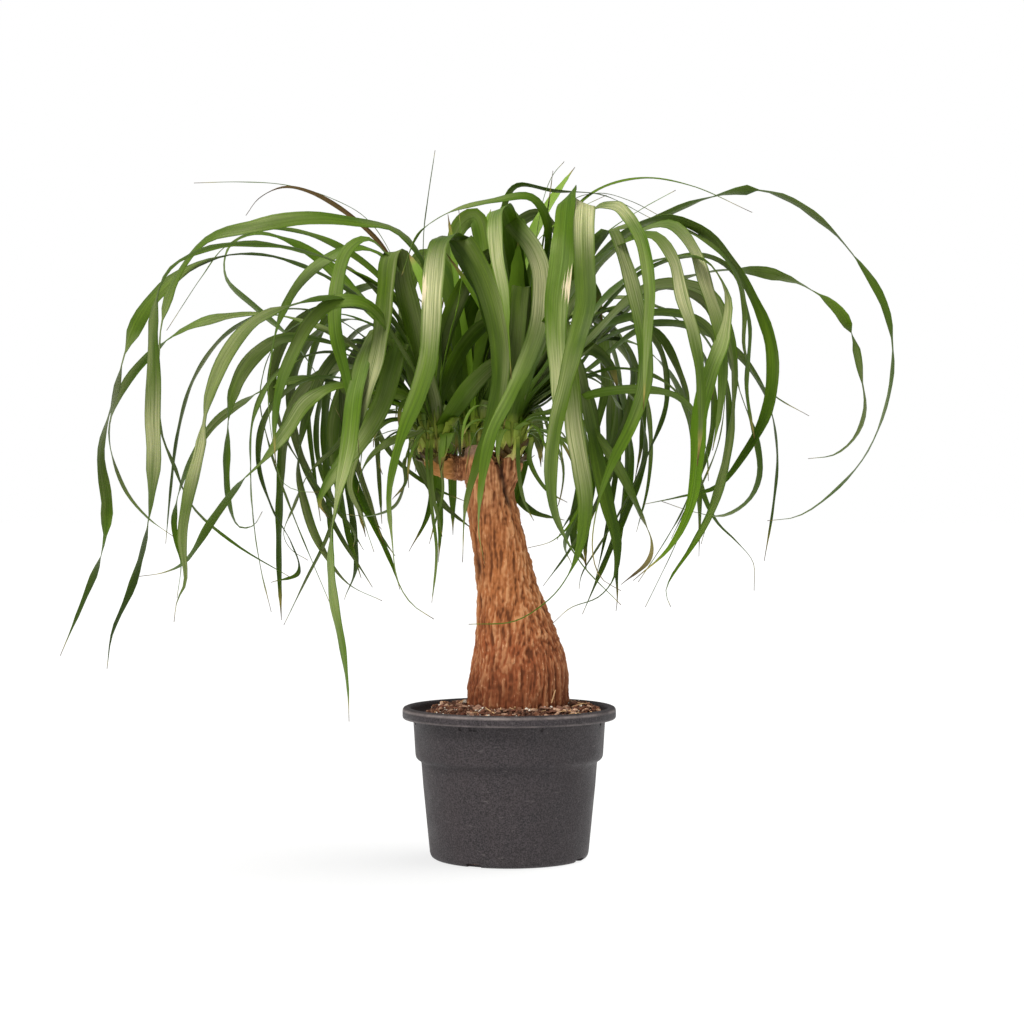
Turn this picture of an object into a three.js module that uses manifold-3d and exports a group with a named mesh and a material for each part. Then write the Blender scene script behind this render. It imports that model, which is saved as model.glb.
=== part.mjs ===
// Potted ponytail palm: a swollen, topped trunk that carries three heads of long strap leaves,
// growing in a filled nursery pot.
// Millimetres, +Z up. The origin is the middle of the pot's underside, and the plant faces -Y.

import * as THREE from 'three';
import { mergeVertices } from 'three/addons/utils/BufferGeometryUtils.js';
import Module from 'manifold-3d';

const wasm = await Module();
wasm.setup();

// Driving dimensions

const GAP = 0.35;
const JOIN_TOLERANCE = 0.05;

const POT = {
  height: 148.4,
  rimRadius: 105,
  openingRadius: 96.5,
  lipHeight: 11.5,
  lipRound: 3,
  neckRadius: 94.6,
  collarRadius: 92.2,
  collarZ: 101,
  shoulderRadius: 86.4,
  shoulderZ: 93,
  footRadius: 78.2,
  footZ: 6,
  flatRadius: 73,
  wall: 2,
  floor: 2.2,
  sides: 36,
};

const DRAIN = { count: 4, width: 16, reach: 14, height: 4, radius: 76, firstAngle: 63 };

const SOIL = { edgeZ: 137.5, moundZ: 146, moundRadius: 58, rings: 3, lump: 1.1, seed: 11 };

const TRUNK = {
  sides: 26,
  depthShare: 0.96,
  rootZ: 100,
  groundZ: 148,
  ridge: 1.3,
  seed: 5,
};

// Height, left edge and right edge of the trunk, from its buried end up to the cut where it was topped
const TRUNK_OUTLINE = [
  [100, -30, 44],
  [124, -38, 52],
  [148, -42.4, 57.4],
  [164, -41, 58],
  [180, -38.4, 57.8],
  [197, -35.2, 55.1],
  [213, -32.7, 49.6],
  [230, -32, 43.6],
  [246, -31.6, 36.6],
  [262, -31, 29.4],
  [280, -33, 24],
  [300, -34.5, 19],
  [320, -38.5, 14],
  [340, -40.5, 9],
  [360, -40.5, 4],
  [376, -41, 2],
  [388, -42.5, -2],
  [397, -44, -13],
  [405, -43, -24],
];

// Each head sits on the flat end of a short stub; the stub's middle line starts inside the trunk
const HEADS = {
  left: { x: -73, y: 4, z: 393, stub: [[-24, 4, 378], [-46, 5, 383], [-66, 4, 384]] },
  right: { x: 1, y: -11, z: 394, stub: [[-12, 0, 346], [-6, -6, 366], [-1, -10, 380]] },
  back: { x: -36, y: 58, z: 396, stub: [[-24, 8, 350], [-31, 32, 369], [-36, 54, 384]] },
};

const STUB = { startRadius: 12, endRadius: 11.5, sides: 12, steps: 5, drop: 1.5 };

const CORE = { radius: 12, height: 62, sides: 10, lowestRoot: 12, highestRoot: 38 };

// Upright borders that keep the leaves of two heads apart; facing is the angle of the border's normal
const BORDERS = [
  { near: 'left', far: 'right', x: -34, y: -3, facing: -30 },
  { near: 'left', far: 'back', x: -55, y: 31, facing: 52.5 },
  { near: 'right', far: 'back', x: -15, y: 24, facing: 122 },
];

const BORDER_MARGIN = 13;
const BORDER_SOFTNESS = 8;

const LEAF = {
  thickness: 0.8,
  spacing: 80,
  threadSpacing: 105,
  rootReach: 26,
  rootLift: 0.35,
  leastLift: 0.2,
  archAt: 0.45,
};

// Blades no wider than this count as threads
const THREAD = 6;

// Width of a blade, as a share of its greatest width, at fractions of its length
const BLADE_PROFILE = [
  [0, 0.4],
  [0.06, 0.6],
  [0.16, 1],
  [0.5, 1],
  [0.74, 0.86],
  [0.87, 0.55],
  [0.95, 0.2],
  [1, 0.03],
];

const NARROWEST = 1;

// The leaves that show from the front are drawn as seen by an eye here, across from the trunk
const EYE = { x: 2.7, y: -2200, z: 352 };

// Each leaf: greatest width, or [greatest width, place along it where only a thread is left]; then
// [depth at its arch, depth at its tip]; its twist; and its route across the view as [x, z] points,
// from beside its head out to the tip. The twist is a list of turns in degrees at even steps from the
// root, or, for a leaf seen from its side, [place, facing] rows: 0 or 180 shows the broad face to the
// viewer and 90 or 270 the edge. More than two depths are spread evenly over the route's points.
const LEFT_LEAVES = [
  [16, [-40, -20], [[0, 90], [0.2, 75], [0.3, 78], [0.41, 86], [0.5, 45], [0.56, 25], [0.6, 88],
    [0.64, 112], [0.68, 97], [0.74, 125], [0.79, 148], [0.845, 262], [0.9, 320], [1, 300]],
    [[-112, 515], [-150, 553], [-205, 583], [-255, 594], [-310, 582], [-350, 550], [-375, 505],
      [-388, 455], [-402, 400], [-396, 345], [-400, 303], [-418, 255], [-442, 198]]],
  [17, [-95, -90], [[0, 90], [0.2, 75], [0.3, 84], [0.4, 72], [0.45, 75], [0.53, 86], [0.57, 60],
    [0.62, 45], [0.66, 15], [0.74, 25], [0.78, 60], [0.805, 88], [0.85, 115], [0.9, 140], [0.95, 125],
    [1, 120]],
    [[-105, 525], [-150, 575], [-205, 597], [-255, 604], [-300, 598], [-335, 578], [-349, 540],
      [-350, 470], [-351, 430], [-350, 390], [-357, 320], [-372, 265], [-391, 220], [-396, 185]]],
  [15, [-60, -40], [[0, 90], [0.2, 72], [0.3, 68], [0.36, 45], [0.42, 20], [0.47, 40], [0.5, 60],
    [0.55, 76], [0.58, 60], [0.6, 55], [0.63, 85], [0.67, 88], [0.75, 98], [0.8, 104], [0.85, 95],
    [0.9, 112], [1, 110]],
    [[-66, 500], [-78, 575], [-110, 616], [-150, 625], [-200, 629], [-255, 620], [-297, 608],
      [-324, 576], [-340, 535], [-345, 490], [-343, 420], [-330, 385], [-312, 345], [-270, 308],
      [-215, 275]]],
  [12, [30, 40], [[0, 90], [0.2, 70], [0.3, 55], [0.36, 83], [0.41, 80], [0.46, 60], [0.5, 42],
    [0.55, 65], [0.575, 88], [0.62, 130], [0.67, 145], [0.72, 120], [0.76, 96], [0.8, 93], [0.85, 112],
    [0.9, 122], [0.95, 112], [1, 100]],
    [[-120, 475], [-160, 508], [-200, 527], [-250, 535], [-310, 524], [-345, 502], [-378, 465],
      [-394, 420], [-380, 365], [-357, 335], [-330, 315]]],
  [15, [-150, -170], [[0, 90], [0.3, 70], [0.4, 72], [0.455, 84], [0.5, 55], [0.55, 35], [0.6, 20],
    [0.65, 50], [0.69, 78], [0.73, 45], [0.8, 15], [0.87, 25], [0.91, 45], [0.95, 65], [1, 80]],
    [[-110, 525], [-160, 551], [-215, 543], [-250, 528], [-275, 500], [-295, 455], [-305, 400],
      [-316, 355], [-322, 315], [-319, 270], [-327, 252], [-330, 231]]],
  [15, [-20, -50], [[0, 90], [0.25, 75], [0.33, 86], [0.38, 68], [0.44, 55], [0.5, 30], [0.56, 10],
    [0.62, 35], [0.66, 70], [0.695, 88], [0.74, 70], [0.78, 55], [0.83, 58], [0.88, 65], [0.92, 75],
    [1, 85]],
    [[-125, 480], [-180, 508], [-225, 510], [-255, 488], [-272, 455], [-278, 400], [-276, 350],
      [-266, 325], [-252, 326], [-243, 340]]],
  [11, [60, 70], [[0, 90], [0.25, 75], [0.33, 68], [0.4, 45], [0.44, 60], [0.475, 88], [0.52, 120],
    [0.57, 150], [0.62, 130], [0.68, 125], [0.74, 110], [0.78, 92], [0.83, 140], [0.88, 150],
    [0.93, 100], [1, 95]],
    [[-125, 450], [-190, 471], [-230, 465], [-262, 448], [-292, 425], [-318, 380], [-330, 330],
      [-323, 290], [-327, 255]]],
  [15, [-60, -90], [[0, 90], [0.2, 75], [0.3, 68], [0.36, 50], [0.42, 15], [0.5, 30], [0.56, 60],
    [0.6, 80], [0.63, 88], [0.68, 110], [0.74, 125], [0.8, 128], [0.87, 115], [0.93, 100], [1, 95]],
    [[-115, 450], [-165, 465], [-200, 448], [-218, 422], [-240, 393], [-265, 368], [-292, 332],
      [-320, 290], [-340, 280], [-365, 276]]],
  [[13, 0.85], [-50, -80], [[0, 90], [0.3, 75], [0.4, 75], [0.45, 50], [0.5, 35], [0.55, 42], [0.6, 50],
    [0.64, 75], [0.68, 86], [0.8, 84], [1, 80]],
    [[-90, 520], [-118, 587], [-150, 600], [-182, 587], [-208, 563], [-228, 523], [-237, 460],
      [-233, 410], [-222, 368], [-205, 360], [-185, 359]]],
  [14, [-125, -150], [[0, 90], [0.4, 70], [0.5, 45], [0.6, 25], [0.7, 20], [0.8, 30], [0.9, 50], [1, 60]],
    [[-105, 510], [-140, 545], [-172, 546], [-195, 528], [-212, 498], [-225, 465], [-231, 425],
      [-230, 385]]],
  [16, [-90, -120], [[0, 90], [0.35, 60], [0.45, 50], [0.52, 25], [0.6, 10], [0.66, 50], [0.7, 45],
    [0.78, 35], [0.86, 45], [0.92, 65], [1, 80]],
    [[-92, 520], [-116, 588], [-140, 608], [-158, 598], [-169, 565], [-171, 520], [-162, 480],
      [-151, 435], [-147, 395]]],
  [22, [-100, -125], [[0, 90], [0.3, 50], [0.42, 30], [0.5, 25], [0.6, 15], [0.7, 5], [0.8, 15],
    [0.9, 45], [1, 70]],
    [[-84, 480], [-90, 560], [-103, 596], [-116, 592], [-123, 555], [-127, 515], [-134, 480],
      [-142, 450], [-152, 410], [-158, 375]]],
  [20, [-70, -90], [[0, 90], [0.3, 50], [0.42, 25], [0.6, 10], [0.8, 20], [1, 60]],
    [[-92, 470], [-104, 510], [-115, 480], [-126, 445], [-145, 412], [-165, 387], [-182, 362],
      [-187, 348], [-178, 334]]],
  [16, [-130, -155], [[0, 90], [0.3, 50], [0.4, 20], [0.5, 10], [0.56, 35], [0.63, 80], [0.67, 86],
    [0.74, 60], [0.82, 48], [0.9, 58], [1, 80]],
    [[-100, 490], [-130, 515], [-150, 465], [-158, 405], [-170, 350], [-176, 305], [-173, 255],
      [-164, 210], [-157, 165], [-155, 133]]],
  [12, [40, 20], [[0, 90], [0.3, 65], [0.42, 25], [0.52, 40], [0.6, 84], [0.68, 130], [0.78, 150],
    [0.86, 120], [0.93, 95], [1, 90]],
    [[-115, 490], [-150, 508], [-178, 485], [-198, 440], [-208, 385], [-202, 350], [-189, 312],
      [-160, 270], [-125, 252]]],
  [[10, 0.85], [80, 90], [[0, 90], [0.3, 70], [0.45, 35], [0.58, 60], [0.66, 88], [0.78, 130], [0.9, 110],
    [1, 95]],
    [[-112, 438], [-145, 430], [-172, 402], [-197, 378], [-212, 345], [-222, 318], [-215, 303],
      [-198, 292]]],
  [6, [20, 30], [0, 30, 30, 0],
    [[-118, 448], [-150, 420], [-165, 360], [-180, 313], [-200, 273], [-222, 228]]],
  [10, [-30, -50], [[0, 90], [0.3, 60], [0.5, 30], [0.7, 50], [0.85, 80], [1, 90]],
    [[-118, 430], [-148, 402], [-157, 365], [-145, 335], [-133, 300]]],
  [7, [-8, -20, -30], [0, 40, 40, 0],
    [[-100, 380], [-112, 346], [-135, 336], [-160, 337]]],
  [6, [-35, -45], [0, 20, 20, 0],
    [[-92, 402], [-103, 390], [-102, 368], [-115, 352]]],
  [9, [-50, -60], [[0, 90], [0.3, 60], [0.5, 30], [0.7, 55], [0.85, 80], [1, 90]],
    [[-90, 418], [-115, 410], [-133, 398], [-145, 380], [-149, 358]]],
  [6, [30, 40], [[0, 90], [0.4, 60], [0.6, 40], [0.75, 30], [0.85, 55], [0.92, 75], [1, 80]],
    [[-92, 530], [-122, 597], [-155, 630], [-195, 654], [-222, 659], [-246, 648], [-259, 631]]],
  [3.5, [50, 60], [0, 30, 0],
    [[-100, 560], [-137, 625], [-175, 648], [-220, 661], [-265, 664], [-310, 663]]],
  [3.5, [8, 8], [0, 20, 0],
    [[-82, 500], [-84, 610], [-80, 645], [-72, 695]]],
  [13, [70, 20], [[0, 90], [0.25, 55], [0.33, 35], [0.4, 20], [0.47, 50], [0.52, 80], [0.56, 75],
    [0.62, 86], [0.67, 75], [0.73, 58], [0.78, 62], [0.84, 80], [0.9, 86], [1, 88]],
    [[-105, 500], [-150, 553], [-185, 588], [-215, 606], [-250, 614], [-276, 600], [-279, 570],
      [-250, 541], [-215, 510], [-185, 468], [-165, 430]]],
  [8, [20, 0], [[0, 90], [0.4, 50], [0.5, 30], [0.6, 60], [0.7, 80], [0.8, 84], [1, 88]],
    [[-118, 560], [-180, 607], [-240, 618], [-280, 600], [-303, 570], [-337, 518]]],
  [4, [-28, -38, -42], [0, 20, 0],
    [[-75, 386], [-68, 350], [-45, 315]]],
  [3, [-26, -30, -30], [0, 20, 0],
    [[-64, 394], [-57, 360], [-70, 328], [-77, 308]]],
  [3.5, [-26, -24, -20], [0, 20, 0],
    [[-80, 392], [-74, 340], [-69, 300], [-75, 250]]],
];

const RIGHT_LEAVES = [
  [[18, 0.93], [10, -30, -95, -150, -165, -170, -172, -172],
    [0, 5, 10, 15, 25, 38, 35, 10, 0, 0, 10, 30],
    [[16, 500], [6, 590], [-4, 636], [-14, 628], [-12, 590], [-4, 550], [0, 505], [2, 470]]],
  [[21, 0.95], [-95, -140], [0, -10, -20, -35, -25, -5, 0, 15, 40, 30, 0],
    [[-12, 500], [-38, 578], [-50, 608], [-42, 600], [-26, 570], [-16, 525], [-13, 478], [-21, 430],
      [-34, 388], [-44, 345], [-46, 290]]],
  [[18, 0.95], [10, -20, -45, -60, -75, -90, -100, -110, -125, -142, -156, -165, -170, -174, -175],
    [0, 10, 20, 30, 50, 40, 10, 0, 40, 55, 30, 20, 0],
    [[-2, 500], [-10, 590], [-13, 622], [-7, 634], [9, 617], [23, 599], [31, 577], [31, 545], [27, 518],
      [14, 482], [-1, 450], [-17, 417], [-27, 370], [-30, 320], [-24, 288]]],
  [[21, 0.9], [5, -10, -30, -60, -110, -150, -170, -178, -182, -186, -189, -192, -194, -196, -198, -200,
    -200], [0, 0, -5, -8, 0, 5, 0, 0, 15, 55, 30, 0],
    [[-9, 470], [-17, 525], [-31, 576], [-47, 603], [-61, 611], [-71, 598], [-75, 560], [-77, 520],
      [-80, 488], [-90, 455], [-102, 425], [-113, 390], [-119, 355], [-116, 315], [-110, 272],
      [-96, 249], [-74, 234]]],
  [25, [-8, -30, -60, -100, -135, -160, -170, -180, -185, -190, -190],
    [0, 0, 5, 10, 25, 50, 48, 10, 0, 10, 30, 50],
    [[30, 470], [42, 535], [50, 595], [57, 641], [57, 650], [54, 620], [52, 590], [47, 550], [46, 510],
      [48, 465], [45, 395]]],
  [[20, 0.92], [-8, -30, -60, -105, -145, -170, -180, -190, -200, -205, -208, -210, -210, -210, -210],
    [0, 0, 0, -5, -15, -30, -28, -5, 0, 15, 40, 20, -10, 30, 0],
    [[34, 470], [50, 535], [62, 595], [70, 638], [74, 642], [73, 618], [74, 580], [75, 545], [66, 508],
      [54, 460], [44, 415],
      [41, 370], [46, 335], [70, 290], [110, 248]]],
  [[20, 0.8], [-120, -150], [0, 20, 40, 40, 20, 0, 0, 10, 25, 60, 40, 20, 0],
    [[20, 480], [42, 535], [55, 505], [60, 460], [64, 420], [70, 385], [75, 345], [68, 300], [52, 268],
      [35, 250], [5, 232], [-40, 229]]],
  [[17, 0.86], [-60, -70], [0, 20, 40, 30, 0, 0, 15, 40, 60, 40, 10, 0],
    [[24, 470], [48, 520], [66, 487], [78, 435], [88, 385], [97, 345], [106, 308], [103, 275],
      [88, 256], [60, 245], [43, 230]]],
  [[16, 0.88], [-180, -215], [0, -5, -15, -30, -42, -35, -5, 20, 45, 60, 20, 0],
    [[42, 555], [76, 615], [96, 624], [112, 591], [124, 550], [133, 505], [133, 465], [120, 425],
      [100, 385], [86, 342], [82, 300], [90, 275], [110, 262]]],
  [5, [-50, -60], [[0, 90], [0.4, 50], [0.7, 60], [1, 85]],
    [[30, 420], [60, 405], [72, 360], [60, 328], [42, 311], [18, 304]]],
  [6, [-35, -45], [0, 20, 0],
    [[20, 390], [38, 360], [57, 349]]],
  [4, [-38, -42, -45], [0, 20, 0],
    [[9, 384], [14, 352], [24, 331]]],
  [12, [-30, 0], [[0, 90], [0.25, 55], [0.3, 48], [0.35, 55], [0.405, 86], [0.43, 60], [0.445, 35],
    [0.46, 84], [0.5, 63], [0.53, 54], [0.555, 72], [0.59, 87], [0.62, 115], [0.65, 140], [0.68, 125],
    [0.72, 97], [0.76, 112], [0.8, 104], [0.86, 95], [0.9, 115], [0.95, 112], [1, 100]],
    [[48, 520], [95, 593], [148, 629], [195, 648], [240, 656], [275, 647], [313, 620], [345, 583],
      [368, 545], [377, 500], [372, 450], [350, 395], [314, 355], [283, 335], [254, 331]]],
  [13, [40, 60], [[0, 90], [0.3, 70], [0.4, 60], [0.46, 86], [0.5, 84], [0.53, 50], [0.565, 12],
    [0.59, 50], [0.62, 88], [0.65, 94], [0.68, 140], [0.7, 160], [0.72, 215], [0.738, 268], [0.77, 322],
    [0.79, 310], [0.82, 275], [0.86, 295], [0.9, 302], [1, 290]],
    [[58, 470], [120, 545], [190, 574], [235, 577], [270, 570], [300, 556], [325, 536], [338, 512],
      [346, 475], [350, 440], [340, 413], [320, 396], [294, 392]]],
  [14, [-70, -80], [[0, 90], [0.3, 60], [0.4, 62], [0.45, 50], [0.5, 48], [0.55, 62], [0.6, 50],
    [0.65, 30], [0.7, 15], [0.75, 25], [0.8, 40], [0.85, 50], [0.9, 60], [1, 70]],
    [[48, 530], [100, 602], [146, 627], [184, 619], [217, 588], [240, 550], [256, 510], [259, 475],
      [252, 435], [230, 395], [205, 365], [170, 355], [132, 347]]],
  [8, [10, 20], [[0, 90], [0.5, 60], [0.6, 50], [0.7, 45], [0.78, 55], [0.84, 80], [0.9, 84], [0.95, 60],
    [1, 70]],
    [[60, 500], [130, 575], [190, 592], [222, 574], [231, 540], [231, 500], [241, 474], [262, 453],
      [295, 434]]],
  [18, [-170, -200], [0, -10, -30, -40, -15, 0, 10, 25, 40],
    [[48, 540], [100, 597], [140, 612], [160, 590], [170, 550], [181, 515], [188, 470], [188, 420],
      [185, 385]]],
  [18, [-130, -160], [0, 10, 20, 30, 20, 0, 0, 20, 45],
    [[58, 540], [115, 607], [158, 622], [181, 598], [194, 560], [205, 525], [210, 485], [207, 440],
      [200, 400]]],
  [14, [-10, -45, -100, -160, -205, -222, -228, -230, -232], [0, 10, 20, 30, 32, 10, 0, 20, 45],
    [[40, 550], [75, 630], [102, 641], [122, 622], [133, 595], [138, 555], [136, 515], [134, 480],
      [132, 440]]],
  [18, [-150, -180], [[0, 90], [0.3, 60], [0.45, 70], [0.5, 86], [0.55, 50], [0.6, 40], [0.7, 25],
    [0.8, 30], [0.9, 50], [1, 70]],
    [[68, 520], [140, 585], [192, 587], [214, 552], [211, 515], [197, 475], [187, 435], [185, 395],
      [178, 345], [158, 305], [122, 272]]],
  [14, [-95, -120], [[0, 90], [0.3, 60], [0.4, 50], [0.5, 35], [0.6, 60], [0.65, 78], [0.7, 60],
    [0.8, 40], [0.9, 55], [1, 80]],
    [[70, 500], [140, 562], [195, 555], [219, 500], [220, 440], [212, 385], [198, 339], [178, 303],
      [158, 273], [154, 260], [159, 246]]],
  [10, [-70, -90], [[0, 90], [0.3, 50], [0.5, 30], [0.7, 50], [0.85, 88], [1, 120]],
    [[42, 438], [85, 456], [132, 460], [165, 453], [185, 432], [194, 400], [196, 370]]],
  [12, [-60, -75], [[0, 90], [0.3, 60], [0.45, 30], [0.6, 40], [0.7, 70], [0.78, 90], [0.88, 130],
    [1, 120]],
    [[38, 430], [66, 430], [92, 406], [110, 378], [128, 340], [140, 310], [137, 292], [110, 268]]],
  [11, [10, 0], [[0, 90], [0.35, 70], [0.5, 40], [0.58, 60], [0.65, 88], [0.75, 130], [0.85, 120],
    [0.93, 95], [1, 90]],
    [[80, 500], [150, 560], [192, 545], [213, 500], [228, 455], [243, 410], [246, 375], [235, 351],
      [210, 336], [180, 340], [150, 350]]],
  [10, [30, 40], [[0, 90], [0.35, 60], [0.45, 35], [0.55, 60], [0.62, 88], [0.72, 135], [0.82, 115],
    [0.9, 95], [1, 100]],
    [[78, 480], [138, 520], [170, 470], [180, 410], [190, 360], [204, 330], [224, 310], [240, 290],
      [241, 262]]],
  [12, [-25, -30], [[0, 90], [0.4, 60], [0.6, 50], [0.8, 40], [1, 60]],
    [[48, 490], [92, 522], [150, 536], [188, 527], [204, 505], [200, 450]]],
  [4, [20, 10], [0, 30, 0],
    [[30, 560], [60, 632], [88, 657], [132, 668], [180, 660], [239, 634]]],
  [4, [-20, -30], [0, 30, 0],
    [[32, 560], [57, 642], [88, 653], [120, 645], [151, 629]]],
  [10, [-60, -130], [[0, 90], [0.4, 60], [0.55, 35], [0.7, 60], [0.8, 85], [0.9, 110], [1, 100]],
    [[26, 540], [38, 622], [22, 649], [-15, 646], [-50, 638], [-80, 624], [-105, 607], [-128, 570]]],
  [8, [10, 20], [[0, 90], [0.4, 60], [0.55, 30], [0.7, 60], [0.85, 84], [1, 100]],
    [[-4, 560], [-12, 640], [5, 660], [45, 655], [92, 651], [140, 628]]],
  [3, [-14, -14], [0, 10, 0],
    [[20, 560], [33, 645], [43, 671], [54, 684]]],
  [3, [-30, -30], [0, 10, 0],
    [[26, 560], [39, 645], [43, 675]]],
  [12, [-20, -22], [0, 10, 10],
    [[10, 480], [15, 560], [17, 612]]],
  [20, [20, 50], [[0, 90], [0.25, 30], [0.5, 12], [0.8, 30], [1, 60]],
    [[10, 440], [14, 500], [10, 555], [4, 596], [-8, 622], [-24, 612], [-34, 575]]],
];

// Only the back head's leaves that stand up between the other two heads are routed
const BACK_LEAVES = [
  [20, [66, 90], [[0, 90], [0.3, 20], [0.6, 10], [1, 60]],
    [[-41, 452], [-47, 500], [-55, 545], [-68, 580], [-88, 590], [-104, 570], [-112, 530], [-116, 480]]],
  [20, [70, 100], [[0, 90], [0.3, -15], [0.6, -10], [1, 60]],
    [[-33, 460], [-29, 515], [-25, 565], [-26, 605], [-34, 630], [-48, 622], [-60, 585], [-66, 540]]],
];

// Leaves that the front view doesn't show grow by a rule: how many, from and to which bearing,
// and how many young ones stand in the middle
const GROWTH = {
  left: { seed: 21, count: 12, from: 98, to: 190, young: 3, routed: LEFT_LEAVES },
  right: { seed: 34, count: 14, from: -8, to: 72, young: 3, routed: RIGHT_LEAVES },
  back: { seed: 55, count: 24, from: 8, to: 172, young: 4, routed: BACK_LEAVES },
};

const GROWN = {
  steps: 9,
  length: [600, 430],
  backwardShare: 0.66,
  lengthSpread: 90,
  width: [11, 20],
  rise: [82, 40],
  fall: [-78, -128],
  bendFrom: 0.06,
  bendTo: [0.66, 0.9],
  wander: 70,
  twist: 50,
};

const YOUNG = { length: [190, 330], width: [8, 14], rise: [88, 78], fall: [10, 60] };

const GOLDEN = 0.618034;

// Small helpers

const mix = (a, b, t) => a + (b - a) * t;
const smooth = (t) => t * t * (3 - 2 * t);
const clamp01 = (t) => Math.min(1, Math.max(0, t));
const radians = (degrees) => (degrees * Math.PI) / 180;
const point = (x, y, z) => new THREE.Vector3(x, y, z);

function makeDraw(seed) {
  let state = seed;
  return () => {
    state = (state * 1664525 + 1013904223) % 4294967296;
    return state / 4294967296;
  };
}

// The value at a fraction of the way through a list of evenly spaced values
function alongList(values, fraction) {
  const place = clamp01(fraction) * (values.length - 1);
  const i = Math.min(values.length - 2, Math.floor(place));
  return mix(values[i], values[i + 1], smooth(place - i));
}

// The value at a fraction, from a table of [fraction, value] rows
function fromTable(table, fraction) {
  let row = 0;
  while (row < table.length - 2 && table[row + 1][0] < fraction) row += 1;
  const [a, from] = table[row];
  const [b, to] = table[row + 1];
  return mix(from, to, smooth(clamp01((fraction - a) / (b - a))));
}

// A closed skin over rings of points that run counter-clockwise round the direction of travel.
// Strips named in crossed are split along their other diagonal.
function skin(rings, crossed = []) {
  const sides = rings[0].length;
  const faces = [];
  for (let i = 0; i < rings.length - 1; i += 1) {
    for (let j = 0; j < sides; j += 1) {
      const a = i * sides + j;
      const b = i * sides + ((j + 1) % sides);
      const c = b + sides;
      const d = a + sides;
      if (crossed.includes(j)) faces.push(a, b, d, b, c, d);
      else faces.push(a, b, c, a, c, d);
    }
  }
  const last = (rings.length - 1) * sides;
  for (let j = 1; j < sides - 1; j += 1) {
    faces.push(0, j + 1, j);
    faces.push(last, last + j, last + j + 1);
  }
  const geometry = new THREE.BufferGeometry().setFromPoints(rings.flat());
  geometry.setIndex(faces);
  return geometry;
}

function solidOf(geometry) {
  geometry.deleteAttribute('normal');
  geometry.deleteAttribute('uv');
  const merged = mergeVertices(geometry, 1e-4);
  const index = merged.index.array;
  const faces = [];
  for (let i = 0; i < index.length; i += 3) {
    const [a, b, c] = [index[i], index[i + 1], index[i + 2]];
    if (a !== b && b !== c && c !== a) faces.push(a, b, c);
  }
  const vertProperties = merged.attributes.position.array;
  return new wasm.Manifold(new wasm.Mesh({ numProp: 3, vertProperties, triVerts: new Uint32Array(faces) }));
}

// The largest piece of a solid, with any hollow sealed inside it filled and scraps of faces merged
function outerBody(solid) {
  const pieces = solid.simplify(JOIN_TOLERANCE).decompose();
  return pieces.reduce((best, piece) => (piece.volume() > best.volume() ? piece : best));
}

// A solid turned round the Z axis from a closed outline of [radius, height] points, counter-clockwise
function turned(outline, sides) {
  const points = outline.map(([r, z]) => new THREE.Vector2(r, z));
  return new THREE.LatheGeometry(points, sides).rotateX(Math.PI / 2);
}

function meshOf(name, solid, material) {
  const { vertProperties, triVerts } = solid.getMesh();
  const geometry = new THREE.BufferGeometry();
  geometry.setAttribute('position', new THREE.BufferAttribute(vertProperties, 3));
  geometry.setIndex(new THREE.BufferAttribute(triVerts, 1));
  geometry.computeVertexNormals();
  const mesh = new THREE.Mesh(geometry, material);
  mesh.name = name;
  return mesh;
}

function finish(color, roughness) {
  return new THREE.MeshStandardMaterial({ color, roughness, metalness: 0, flatShading: true });
}

// Directions along a line of points: which way it travels, its side and its face.
// The side is carried along without turning about the line.
function framesAlong(points, firstSide) {
  const frames = [];
  let side = firstSide.clone();
  for (let i = 0; i < points.length; i += 1) {
    const before = points[Math.max(0, i - 1)];
    const after = points[Math.min(points.length - 1, i + 1)];
    const along = after.clone().sub(before).normalize();
    side = side.clone().addScaledVector(along, -side.dot(along)).normalize();
    frames.push({ along, side, face: along.clone().cross(side) });
  }
  return frames;
}

// Pot

function arc(centre, radius, from, to, steps) {
  const points = [];
  for (let i = 0; i <= steps; i += 1) {
    const angle = radians(mix(from, to, i / steps));
    points.push([centre[0] + radius * Math.cos(angle), centre[1] + radius * Math.sin(angle)]);
  }
  return points;
}

// The pot's inner wall, from the floor up to the bottom of the lip
function potInside() {
  return [
    [POT.flatRadius - 1, POT.floor],
    [POT.footRadius - POT.wall, POT.footZ + 1],
    [POT.shoulderRadius - POT.wall, POT.shoulderZ],
    [POT.collarRadius - POT.wall, POT.collarZ],
    [POT.neckRadius - POT.wall, POT.height - POT.lipHeight],
  ];
}

function pot() {
  const lipZ = POT.height - POT.lipHeight;
  const round = POT.lipRound;
  const topZ = POT.height - round;
  const outline = [
    [0, 0],
    [POT.flatRadius, 0],
    [POT.flatRadius + 3.6, 1.8],
    [POT.footRadius, POT.footZ],
    [POT.shoulderRadius, POT.shoulderZ],
    [POT.collarRadius - 1.6, POT.collarZ - 3.6],
    [POT.collarRadius, POT.collarZ],
    [POT.neckRadius, lipZ],
    [POT.rimRadius - 2, lipZ],
    [POT.rimRadius, lipZ + 2],
    ...arc([POT.rimRadius - round, topZ], round, 0, 90, 2),
    ...arc([POT.openingRadius + round, topZ], round, 90, 180, 2),
    ...potInside().reverse(),
    [0, POT.floor],
  ];
  let body = solidOf(turned(outline, POT.sides));
  for (let i = 0; i < DRAIN.count; i += 1) {
    const angle = radians(DRAIN.firstAngle + (i * 360) / DRAIN.count);
    const slot = new THREE.BoxGeometry(DRAIN.reach, DRAIN.width, DRAIN.height * 2);
    slot.rotateZ(angle);
    slot.translate(DRAIN.radius * Math.cos(angle), DRAIN.radius * Math.sin(angle), 0);
    body = body.subtract(solidOf(slot));
  }
  return meshOf('pot', body, finish(0x474346, 0.55));
}

// Trunk

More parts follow.
